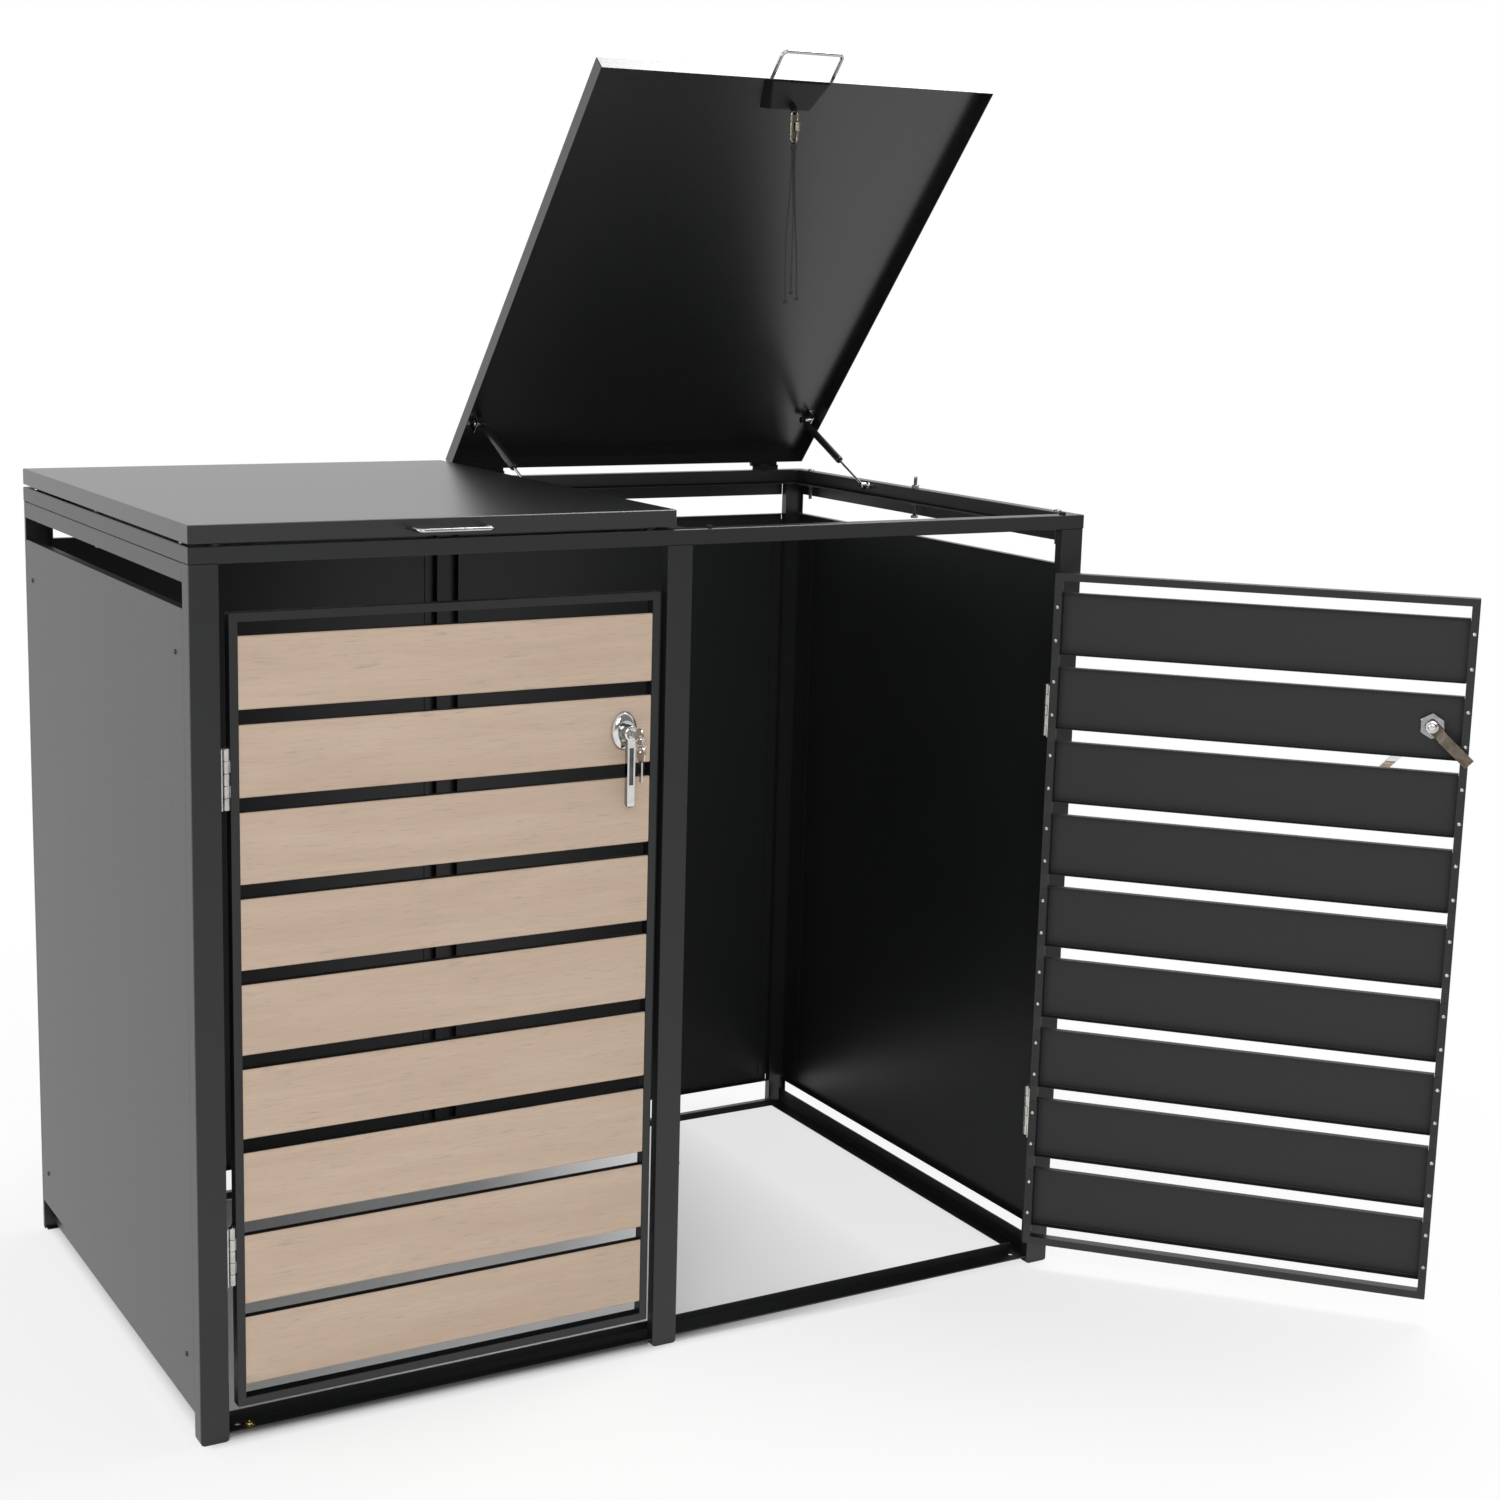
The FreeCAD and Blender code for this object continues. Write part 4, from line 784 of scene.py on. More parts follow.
def boardFixings():
    values = boardFixing
    dome = stood(domeHead("boardDome", values["radius"], values["height"]), (0.0, values["surface"], 0.0),
                 alongY)
    pieces = []
    for number in range(values["count"]):
        middle = boards["firstMiddle"] - number * boards["pitch"]
        for x in values["columns"]:
            for offset in (-values["spread"], values["spread"]):
                pieces.append(moved(copied(dome, "boardDome"), (x, 0.0, middle + offset)))
    bpy.data.objects.remove(dome, do_unlink=True)
    return joined("boardFixings", pieces)


standPair(boardFixings(), "BoardFixings", doorOpened, "board_fixings")
print("board fixings made")


# Screws, bolts and nuts of the frame
fastener = {
    "wallX": -0.665, "wallY": (-0.338, 0.353), "wallZ": (0.1035, 1.013), "backY": 0.394,
    "backX": (-0.618, -0.028), "head": 0.0035, "headHigh": 0.0018, "domeHigh": 0.0032,
    "domes": ((0.019, -0.3865, 0.711), (0.019, -0.3865, 0.262)),
    "boltX": -0.6545, "endY": (-0.345, 0.345), "middleY": 0.027, "railTop": 1.146, "bottom": 1.098,
    "middleTop": 1.164, "nutFlat": 0.01, "nutHigh": 0.005, "underNut": 1.1188, "boltRadius": 0.003,
    "headShift": 0.004, "hexHigh": 0.0042, "tip": 0.0005, "boltHead": (0.006, 0.0032),
}


def frameNut(low):
    return hexPiece("nut", low, low + fastener["nutHigh"], fastener["nutFlat"])


def frameBolt(y, upward):
    values = fastener
    bottom, railTop = values["bottom"], values["railTop"]
    low = bottom + values["headShift"] if upward else bottom
    high = values["middleTop"] if upward else railTop + values["tip"]
    pieces = [frameNut(values["underNut"]), threaded("shank", low, high, values["boltRadius"])]
    if upward:
        pieces += [hexPiece("boltHead", bottom, bottom + values["hexHigh"], values["nutFlat"]),
                   frameNut(railTop)]
    else:
        pieces.append(moved(panHead("boltHead", *values["boltHead"], 24), (0.0, 0.0, railTop)))
    return moved(joined("bolt", pieces), (values["boltX"], y, 0.0))


def frameScrew(place, way):
    return stood(panHead("frameScrew", fastener["head"], fastener["headHigh"]), place, way)


def frameFasteners():
    values = fastener
    left = [frameBolt(y, False) for y in values["endY"]] + [frameBolt(values["middleY"], True)]
    for z in values["wallZ"]:
        for y in values["wallY"]:
            left.append(frameScrew((values["wallX"], y, z), (-1.0, 0.0, 0.0)))
        for x in values["backX"]:
            left.append(frameScrew((x, values["backY"], z), alongY))
    halves = bothSides("fastenerHalves", left)
    domes = [stood(domeHead("postDome", values["head"], values["domeHigh"], 20), place, alongX)
             for place in values["domes"]]
    whole = joined("frameFasteners", [halves] + domes)
    for name in ("dull_zinc", "ball_steel", "anthracite"):
        whole.data.materials.append(materials[name])
    for face in whole.data.polygons:
        x, y, z = face.center
        onPost = abs(x) < 0.03 and y < -0.38 and z < 1.0
        onWall = abs(x) > abs(values["wallX"]) or y > values["backY"]
        # the post's domes are bright, the wall screws are painted over
        face.material_index = 1 if onPost else 2 if onWall else 0
    return whole


stands(frameFasteners(), "frame_fasteners")

railScrew = {"place": (-0.597, -0.380833, 0.0115), "washer": 0.008, "head": 0.0052, "high": 0.0032,
             "shank": 0.003, "tip": -0.007}


def railScrewPiece():
    values = railScrew
    washer = values["washer"]
    rings = [(values["tip"], values["shank"] * 0.7), (values["tip"] + 0.001, values["shank"]),
             (0.0, values["shank"]), (0.0, washer), (0.0007, washer), (0.001, washer * 0.95),
             (0.001, values["head"]), (0.0018, values["head"] * 0.94), (0.0027, values["head"] * 0.7),
             (values["high"], values["head"] * 0.4), (values["high"], values["head"] * 0.3), (0.0022, 0.001)]
    return moved(turnedPiece("railScrew", rings, 28), values["place"])


stands(railScrewPiece(), "rail_screw")

buffer = {"places": (-0.63, -0.045, 0.045, 0.63), "y": -0.3885, "low": fastener["railTop"], "high": 0.004,
          "radius": 0.005}


def lidBuffers():
    values = buffer
    radius = values["radius"]
    high = values["high"]
    rings = [(0.0, radius), (high * 0.6, radius), (high * 0.85, radius * 0.92), (high, radius * 0.7)]
    return joined("lidBuffers", [moved(turnedPiece("lidBuffer", rings, 24), (x, values["y"], values["low"]))
                                 for x in values["places"]])


stands(lidBuffers(), "lid_buffers")
print("frame fasteners made")


# Door hinges: knuckles by turns on the post and on the door
doorHinge = {"levels": (0.8605, 0.2458), "length": 0.077, "count": 5, "gap": 0.0004,
             "axis": (-0.6195, -0.3875), "knuckle": 0.0045, "pin": 0.0025, "bore": 0.00256, "postX": -0.627,
             "leaf": 0.0018,
             "postLeafY": (-0.3925, -0.38), "doorX": -0.614, "doorLeafY": (-0.3843, -0.373),
             "doorArmBack": -0.38185, "screwY": -0.3832, "screws": (-0.027, 0.0, 0.027)}


def hingeSpans(centre):
    values = doorHinge
    pitch = values["length"] / values["count"]
    low = centre - values["length"] / 2
    gap = values["gap"] / 2
    return [(low + pitch * number + gap, low + pitch * (number + 1) - gap)
            for number in range(values["count"])]


def knuckleRings(length, radius, bore):
    edge = radius * 0.1
    return [(0.0, bore), (0.0, radius - edge), (edge, radius), (length - edge, radius),
            (length, radius - edge), (length, bore)]


def pinRings(low, high, radius, edge=0.0004):
    return [(low, radius * 0.8), (low + edge, radius), (high - edge, radius), (high, radius * 0.8)]


leafScrew = {"radius": 0.0026, "high": 0.0011}


def leafScrewPiece(place, way):
    return stood(panHead("leafScrew", leafScrew["radius"], leafScrew["high"]), place, way)


def doorSideHinge(centre):
    values = doorHinge
    spans = hingeSpans(centre)
    x, y = values["axis"]
    low, high = spans[0][0], spans[-1][1]
    pieces = [plate("doorLeaf", (values["doorX"] - values["leaf"], values["doorLeafY"][0], low),
                    (values["doorX"], values["doorLeafY"][1], high))]
    pieces.append(moved(turnedPiece("hingePin", pinRings(low, high, values["pin"]), 20), (x, y, 0.0)))
    for start, end in spans[1::2]:
        body = turnedPiece("doorKnuckle", knuckleRings(end - start, values["knuckle"], 0.001), 24)
        pieces.append(moved(body, (x, y, start)))
        pieces.append(plate("doorArm", (x, y, start), (values["doorX"], values["doorArmBack"], end), 0.0002))
    return joined("doorHinge", pieces)


def postSideHinge(centre):
    values = doorHinge
    spans = hingeSpans(centre)
    x, y = values["axis"]
    surface = values["postX"] + values["leaf"]
    pieces = [plate("postLeaf", (values["postX"], values["postLeafY"][0], spans[0][0]),
                    (surface, values["postLeafY"][1], spans[-1][1]))]
    for start, end in spans[::2]:
        body = turnedPiece("postKnuckle", knuckleRings(end - start, values["knuckle"], values["bore"]), 24,
                           True)
        pieces.append(moved(body, (x, y, start)))
        pieces.append(plate("postArm", (values["postX"], y, start),
                            (x - values["bore"] - 0.0002, y + values["leaf"], end), 0.0002))
    for offset in values["screws"]:
        pieces.append(leafScrewPiece((surface, values["screwY"], centre + offset), alongX))
    return joined("postHinge", pieces)


standPair(joined("doorHinges", [doorSideHinge(z) for z in doorHinge["levels"]]), "DoorHinges", doorOpened,
          "door_hinges")
stands(bothSides("doorHingePostLeaves", [postSideHinge(z) for z in doorHinge["levels"]]),
       "door_hinge_post_leaves")
print("door hinges made")


# Lid hinges behind the back rail
lidHinge = {"centres": (-0.079, -0.593), "axis": opened["lidPivot"][1:], "back": 0.394, "leaf": 0.0018,
            "knuckle": 0.004, "pin": 0.002, "bore": 0.00206, "half": 0.025, "middle": 0.008, "gap": 0.0004,
            "lidLeafZ": (1.1572, 1.17), "frameLeafZ": (1.13, 1.1528), "free": 0.0002,
            "screws": (-0.017, 0.017)}


def lyingKnuckle(name, left, right, bored):
    values = lidHinge
    rings = knuckleRings(right - left, values["knuckle"], values["bore"] if bored else 0.001)
    return stood(turnedPiece(name, rings, 24, bored), (left, *values["axis"]), alongX)


def lidSideHinge(centre):
    values = lidHinge
    y, z = values["axis"]
    half, middle, leaf = values["half"], values["middle"], values["leaf"]
    low, high = values["lidLeafZ"]
    pieces = [plate("lidLeaf", (centre - half, values["back"], low),
                    (centre + half, values["back"] + leaf, high)),
              lyingKnuckle("lidKnuckle", centre - middle, centre + middle, False),
              plate("lidArm", (centre - middle, values["back"], z + values["knuckle"] - leaf),
                    (centre + middle, y, z + values["knuckle"]), 0.0002)]
    pin = turnedPiece("lidPin", pinRings(0.0, 2 * half, values["pin"]), 20)
    pieces.append(stood(pin, (centre - half, y, z), alongX))
    for offset in values["screws"]:
        pieces.append(leafScrewPiece((centre + offset, values["back"] + leaf, (low + high) / 2), alongY))
    return joined("lidHinge", pieces)


def frameSideLeaf(centre):
    values = lidHinge
    y, z = values["axis"]
    half, leaf = values["half"], values["leaf"]
    low, high = values["frameLeafZ"]
    inner = values["middle"] + values["gap"]
    near = values["back"] + values["free"]
    pieces = [plate("frameLeaf", (centre - half, near, low), (centre + half, values["back"] + leaf, high))]
    for left, right in ((centre - half, centre - inner), (centre + inner, centre + half)):
        pieces.append(lyingKnuckle("frameKnuckle", left, right, True))
        pieces.append(plate("frameArm", (left, near, z - values["knuckle"] * 0.98),
                            (right, y, z - values["bore"] - 0.0001), 0.0002))
    return joined("frameLeaf", pieces)


standPair(joined("lidHinges", [lidSideHinge(x) for x in lidHinge["centres"]]), "LidHinges", lidOpened,
          "lid_hinges")
stands(bothSides("lidHingeFrameLeaves", [frameSideLeaf(x) for x in lidHinge["centres"]]),
       "lid_hinge_frame_leaves")
print("lid hinges made")


# Gas struts: a rod on a ball at the frame and a tube that slides on it up to the lid
strut = {
    "planes": {"inner": -0.04, "outer": -0.632}, "frameBall": (0.146, 1.1395),
    "closed": (7.43921, 0.1583327), "open": (25.62655, 0.215928), "rod": 0.002, "rodLength": 0.10603,
    "cup": 0.0055, "cupHalf": 0.004,
    "pocket": 0.00406, "tube": 0.006, "tubeLength": 0.1350327, "neck": 0.003, "neckLength": 0.016,
    "bore": 0.00206, "boreDepth": 0.0920327, "edge": 0.0015, "ball": 0.004, "stud": 0.0025,
}


def slanted(angle):
    rise = math.radians(angle)
    return Vector((0.0, math.cos(rise), math.sin(rise)))


def strutRod(name, angle, toStud):
    values = strut
    rings = [(0.0048, values["rod"] * 1.9), (0.0056, values["rod"] * 1.9), (0.0062, values["rod"]),
             (values["rodLength"] - 0.0005, values["rod"]), (values["rodLength"], values["rod"] * 0.8)]
    rod = stood(turnedPiece("rodBar", rings, 24), origin, slanted(angle))
    half, wide, pocket = values["cupHalf"], values["cup"], values["pocket"]
    # the cup is open toward the stud and closed on its other side
    cupRings = [(-half - 0.0013, wide - 0.0008), (-half - 0.0003, wide), (half - 0.0008, wide),
                (half, wide - 0.0008), (half, pocket), (-half - 0.0001, pocket)]
    cup = stood(turnedPiece("rodCup", cupRings, 28), origin, (toStud, 0.0, 0.0))
    return joined(name, [rod, cup])


def strutTube(name, angle, run):
    values = strut
    along = slanted(angle)
    low, high = run - values["tubeLength"], run - values["neckLength"] + 0.002
    narrow, wide, edge = values["tube"] - values["edge"], values["tube"], values["edge"]
    rings = [(run - 0.004, values["neck"]), (high, values["neck"]), (high, narrow),
             (high - edge * 0.4, wide - 0.0004), (high - edge, wide), (low + edge * 2.2, wide),
             (low + edge * 2.0, wide - 0.0004),
             (low + edge * 1.7, wide - 0.0004), (low + edge * 1.5, wide), (low + edge * 0.5, wide - 0.0003),
             (low, narrow), (low, values["bore"] * 1.5), (low + 0.0012, values["bore"]),
             (low + values["boreDepth"], values["bore"])]
    tube = stood(turnedPiece("tubeBody", rings, 32), origin, along)
    half, cap = values["cupHalf"], values["cup"]
    capRings = [(-half, cap - 0.0008), (-half + 0.0008, cap), (half - 0.0008, cap), (half, cap - 0.0008),
                (half, cap * 0.5), (half - 0.0007, cap * 0.46)]
    end = stood(turnedPiece("tubeCap", capRings, 28), along * run, alongX)
    return joined(name, [tube, end])


def placedStrut(place, x, toStud, side, state):
    angle, run = strut[state]
    base = (x, *strut["frameBall"])
    rod = moved(strutRod(side + place.title() + "Rod", angle, toStud), base)
    tube = moved(strutTube(side + place.title() + "Tube", angle, run), base)
    stands(rod, side + "_" + place + "_strut_rod")
    stands(tube, side + "_" + place + "_strut_tube")


for place, planeX in strut["planes"].items():
    toStud = 1.0 if place == "inner" else -1.0
    placedStrut(place, planeX, toStud, "left", "closed")
    placedStrut(place, -planeX, -toStud, "right", "open")

frameStud = {"inner": {"face": -0.019, "spacer": 0.009}, "outer": {"face": -0.644, "spacer": 0.003}}


def frameStudPiece(place):
    values = strut
    planeX = strut["planes"][place]
    face = frameStud[place]["face"]
    way = 1.0 if planeX > face else -1.0
    reach = abs(planeX - face)
    ball, stud, spacer = values["ball"], values["stud"], frameStud[place]["spacer"]
    rings = [(0.0, 0.0046), (0.0004, 0.005), (spacer - 0.0004, 0.005), (spacer, 0.0046), (spacer, stud)]
    for share in (-0.7, -0.45, -0.2, 0.0, 0.2, 0.45, 0.6, 0.7):
        rings.append((reach + ball * share, ball * math.sqrt(1 - share * share)))
    return stood(turnedPiece("frameStud", rings, 28), (face, *values["frameBall"]), (way, 0.0, 0.0))


stands(bothSides("strutFrameStuds", [frameStudPiece(place) for place in frameStud]), "strut_frame_studs")

lidStrutBracket = {"plateX": -0.028, "sheet": 0.0015, "foot": 0.013, "top": 1.1713, "low": 1.152,
                   "middle": (0.303, 1.16), "half": 0.012, "studEnd": -0.0356, "stud": 0.0025, "head": 0.005,
                   "collar": 0.0036}


def lidStrutBracketPiece():
    values = lidStrutBracket
    y, z = values["middle"]
    near, far = y - values["half"], y + values["half"]
    x, sheet = values["plateX"], values["sheet"]
    upright = plate("bracketPlate", (x, near, values["low"]), (x + sheet, far, values["top"]), 0.0003)
    foot = plate("bracketFoot", (x, near, values["top"] - sheet), (x + values["foot"], far, values["top"]),
                 0.0003)
    reach = x + sheet / 2 - values["studEnd"]
    head, stem, collar = values["head"], values["stud"], values["collar"]
    rings = [(-sheet - 0.0018, head * 0.3), (-sheet - 0.0015, head * 0.62), (-sheet - 0.0006, head * 0.9),
             (-sheet + 0.0004, head), (sheet, head), (sheet, collar), (sheet + 0.0026, collar),
             (sheet + 0.003, collar * 0.88), (sheet + 0.003, stem), (reach - 0.0003, stem),
             (reach, stem * 0.85)]
    stud = stood(turnedPiece("bracketStud", rings, 24), (x + sheet / 2, y, z), (-1.0, 0.0, 0.0))
    return joined("lidStrutBracket", [upright, foot, stud])


innerBracket = lidStrutBracketPiece()
outerBracket = mirrored(innerBracket, "outerBracket", -lidMiddle)
standPair(joined("strutBrackets", [innerBracket, outerBracket]), "LidStrutBrackets", lidOpened,
          "lid_strut_brackets")
print("gas struts made")


# Bracket under each lid: a pressed pan with its flange against the lid and a drilled eye at its back
lidPan = {"centre": -lidMiddle, "near": -0.3925, "depth": 0.0654, "nearHalf": 0.0572, "farHalf": 0.0422,
          "under": 1.1713, "floor": 1.1578, "slope": 0.0087, "sheet": 0.0015, "eye": (-0.3438, 1.146),
          "eyeRadius": 0.006, "eyeHole": 0.003, "eyeSheet": 0.0016, "pressed": 0.0022}


def panShell(name, inset, high, low, slope):
    # a slab whose back and foot are narrowed: it stands for the pan's outside or its hollow
    values = lidPan
    near, far = values["near"] + inset, values["near"] + values["depth"] - inset
    nearWide, farWide = values["nearHalf"] - inset, values["farHalf"] - inset
    middle, level, x = (near + far) / 2, (high + low) / 2, values["centre"]
    centre = (x, 0.0, 0.0)
    piece = plate(name, (x - nearWide, near, low), (x + nearWide, far, high), 0.0)
    resizeWhere(piece, lambda place: place.y > middle, (farWide / nearWide, 1.0, 1.0), centre)
    for wide, atBack in ((nearWide, False), (farWide, True)):
        def isFoot(place):
            return place.z < level and (place.y > middle) == atBack
        resizeWhere(piece, isFoot, (1.0 - slope / wide, 1.0, 1.0), centre)
    shiftWhere(piece, lambda place: place.z < level and place.y > middle, (0.0, -slope, 0.0))
    shiftWhere(piece, lambda place: place.z < level and place.y < middle, (0.0, slope, 0.0))
    return piece


def roundFoot(pan):
    # the pressed corners: the foot's outer edges and the slanted ones up from them
    values = lidPan
    floor = values["floor"]
    clearPicks(pan, "EDGE")
    for edge in pan.data.edges:
        edge.select = any(pan.data.vertices[number].co.z < floor + 0.0001 for number in edge.vertices)
    toMode("EDIT")
    bpy.ops.mesh.bevel(offset=values["pressed"], segments=3)
    toMode("OBJECT")


def lidPanPiece():
    values = lidPan
    sheet = values["sheet"]
    pan = panShell("panOutside", 0.0, values["under"], values["floor"], values["slope"])
    hollow = panShell("panHollow", sheet, values["under"] + 0.002, values["floor"] + sheet, values["slope"])
    cutOut(pan, hollow)
    roundFoot(pan)
    soften(pan, 0.0003, 1, 40.0)
    y, z = values["eye"]
    half = values["eyeSheet"] / 2
    eye = stood(turnedPiece("eyeDisc", [(0.0, values["eyeRadius"]), (2 * half, values["eyeRadius"])], 32),
                (values["centre"] - half, y, z), alongX)
    tab = plate("eyeTab", (values["centre"] - half, y - values["eyeRadius"], z),
                (values["centre"] + half, y + values["eyeRadius"], values["floor"] + 0.0005), 0.0)
    hole = stood(turnedPiece("eyeHole", [(0.0, values["eyeHole"]), (8 * half, values["eyeHole"])], 32),
                 (values["centre"] - 4 * half, y, z), alongX)
    combined(eye, tab, "UNION")
    cutOut(eye, hole)
    soften(eye, 0.0002, 1, 40.0)
    return joined("lidPan", [pan, eye])


standPair(lidPanPiece(), "LidPan", lidOpened, "lid_bracket")
print("lid brackets made")


# Lifting link: an oval of round bar with a hexagonal sleeve
link = {"bend": 0.005, "wire": 0.002, "topZ": 1.7053376, "lowZ": 1.6723376, "sleeveFlat": 0.008,
        "sleeve": 0.013}


def liftingLink():
    values = link
    x, y, bend = lidMiddle, cords["eyeY"], values["bend"]
    top, low = values["topZ"], values["lowZ"]
    rise = top - low
    back = (0.0, -1.0, 0.0)
    steps = [("run", (0.0, 0.0, rise)), ("bend", (x, y, top), back, 180.0, 16),
             ("run", (0.0, 0.0, -rise)), ("bend", (x, y, low), back, 180.0, 16)]
    wire = bentBar("linkWire", values["wire"], (x + bend, y, low), alongZ, steps, 20, True)
    start = low + (rise - values["sleeve"]) / 2
    sleeve = hexPiece("linkSleeve", 0.0, values["sleeve"], values["sleeveFlat"])
    moved(sleeve, (x + bend, y, start))
    thread = threaded("linkThread", 0.0, values["sleeve"] + 0.009, values["wire"] * 1.12, 0.0008)
    moved(thread, (x + bend, y, start - 0.0045))
    return joined("liftingLink", [wire, sleeve, thread])


stands(liftingLink(), "lifting_link")


# Knots: the tie round the link's foot and a knot at each strand's end
knots = {"tie": (lidMiddle, cords["eyeY"], 1.6597376), "ring": (lidMiddle, cords["eyeY"], 1.6673376),
         "ringRadius": 0.0035, "tieRadius": 0.005, "endRadius": 0.0034, "endShift": 0.0028}


def woundKnot(name, radius, turns):
    # a pressed lump with turns of the cord laid round it, each a little skewed
    shares = ((-0.55, 0.3), (-0.45, 0.6), (-0.2, 0.78), (0.2, 0.78), (0.45, 0.6), (0.55, 0.3))
    pieces = [turnedPiece("knotCore", [(radius * rise, radius * wide) for rise, wide in shares], 20)]
    wire = radius * 0.24
    for skew, level in turns:
        way = (math.sin(skew) * 0.55, math.cos(skew) * 0.35, 1.0)
        pieces.append(wireRing("knotTurn", (0.0, 0.0, level * radius), way, radius * 0.72, wire, 10, 28))
    return joined(name, pieces)


def cordKnots():
    values = knots
    tie = woundKnot("tieKnot", values["tieRadius"], ((0.4, 0.28), (2.2, 0.0), (4.1, -0.2)))
    ring = wireRing("tieRing", values["ring"], alongX, values["ringRadius"], cords["radius"], 12, 36)
    pieces = [moved(tie, values["tie"]), ring]
    for node, points in cordRoutes.items():
        along = (points[-1] - points[-2]).normalized()
        lump = woundKnot("endKnot", values["endRadius"], ((0.9, 0.2), (3.4, -0.2)))
        pieces.append(stood(lump, points[-1] + along * values["endShift"], -along))
    return joined("cordKnots", pieces)


cordKnotsPiece = stands(cordKnots(), "cord_knots")
print("link and knots made")


# Lock case: oval plate, barrel through the board and its nut, all on the spindle's line
lockPlace = {"x": -0.077, "z": 0.88075, "boardFront": -0.3872}
lockCase = {"halves": (0.019, 0.026), "depth": 0.008, "bore": 0.00506, "barrel": 0.008, "barrelEnd": 0.0112,
            "nutFlat": 0.032, "nutFrom": 0.0008, "nutHigh": 0.0065, "nutBore": 0.0081}


def onSpindle(piece, y, degrees):
    piece.rotation_euler = (math.radians(degrees), 0.0, 0.0)
    piece.location = (lockPlace["x"], y, lockPlace["z"])
    applyPlace(piece)
    return piece


def onLockLine(piece, y):
    return stood(piece, (lockPlace["x"], y, lockPlace["z"]), (0.0, -1.0, 0.0))


def lockCasePiece():
    values = lockCase
    wide, tall = values["halves"]
    depth, bore, barrel = values["depth"], values["bore"], values["barrel"]
    rings = [(depth, bore, bore), (depth, wide - 0.0075, tall - 0.0125),
             (depth * 0.97, wide - 0.006, tall - 0.0095), (depth * 0.86, wide - 0.0038, tall - 0.006),
             (depth * 0.68, wide - 0.002, tall - 0.003), (depth * 0.45, wide - 0.0009, tall - 0.0012),
             (depth * 0.2, wide - 0.0002, tall - 0.0003),
             (0.0003, wide, tall), (0.0, wide - 0.0003, tall - 0.0003), (0.0, barrel, barrel),
             (-values["barrelEnd"], barrel, barrel), (-values["barrelEnd"], bore, bore)]
    # the plate stands upright: the rings' second half width is its height
    case = onSpindle(turnedPiece("lockPlate", rings, 56, True), lockPlace["boardFront"], 90)
    corner = values["nutFlat"] / 2 / math.cos(math.radians(30))
    high = values["nutHigh"]
    nutRings = [(0.0, values["nutBore"]), (0.0, corner * 0.94), (high * 0.12, corner), (high * 0.88, corner),
                (high, corner * 0.94), (high, values["nutBore"])]
    nut = onSpindle(turnedPiece("lockNut", nutRings, 6, True), lockPlace["boardFront"] + values["nutFrom"],
                    -90)
    case.data.materials.append(materials["bright_nickel"])
    nut.data.materials.append(materials["nut_plate"])
    return joined("lockCase", [case, nut])


standPair(lockCasePiece(), "LockCase", doorOpened, "lock_case")


# Cam: the cranked bar with its domed, flanged bolt, both on the spindle
lockCam = {"behind": 0.0139, "soft": 0.0002, "search": 0.008, "flange": 0.0085, "flangeHigh": 0.001,
           "dome": 0.0063, "domeHigh": 0.004}


def camBar():
    # the node's own bar without its plain bolt head
    values = lockCam
    bar = cleanCopy("left_lock_cam")
    near = [vertex for vertex in bar.data.vertices
            if math.hypot(vertex.co.x - lockPlace["x"], vertex.co.z - lockPlace["z"]) < values["search"]]
    head = max(near, key=lambda vertex: vertex.co.y).index
    clearPicks(bar, "VERT")
    bar.data.vertices[head].select = True
    toMode("EDIT")
    bpy.ops.mesh.select_linked()
    bpy.ops.mesh.delete(type="VERT")
    toMode("OBJECT")
    soften(bar, values["soft"], 2, 30.0)
    return bar


def camPiece():
    values = lockCam
    flange, dome, high = values["flange"], values["dome"], values["domeHigh"]
    low = values["flangeHigh"]
    rings = [(0.0, flange), (low * 0.5, flange), (low, flange - 0.0006), (low, dome),
             (high * 0.45, dome * 0.98), (high * 0.68, dome * 0.86), (high * 0.87, dome * 0.62),
             (high * 0.97, dome * 0.32),
             (high, dome * 0.08)]
    behind = lockPlace["boardFront"] + values["behind"]
    bolt = stood(turnedPiece("camBolt", rings, 36), (lockPlace["x"], behind, lockPlace["z"]), alongY)
    bar = camBar()
    bar.data.materials.clear()
    bar.data.materials.append(materials["nickel_bar"])
    bolt.data.materials.append(materials["ball_steel"])
    return joined("lockCam", [bar, bolt])


standPair(camPiece(), "LockCam", doorOpened, "lock_cam")


# Lever handle: hub and spindle, and a tapering lever with a sunk strip
lever = {"hub": 0.0105, "hubFrom": 0.0084, "hubLength": 0.017, "hubEdge": 0.0025, "length": 0.1,
         "wide": 0.012, "tip": 0.0105, "deep": 0.008, "edge": 0.0014, "strip": (0.0062, 0.050, 0.019),
         "stripDeep": 0.001,
         "spindle": 0.005, "spindleEnd": 0.0139, "rightTurn": 42.0}


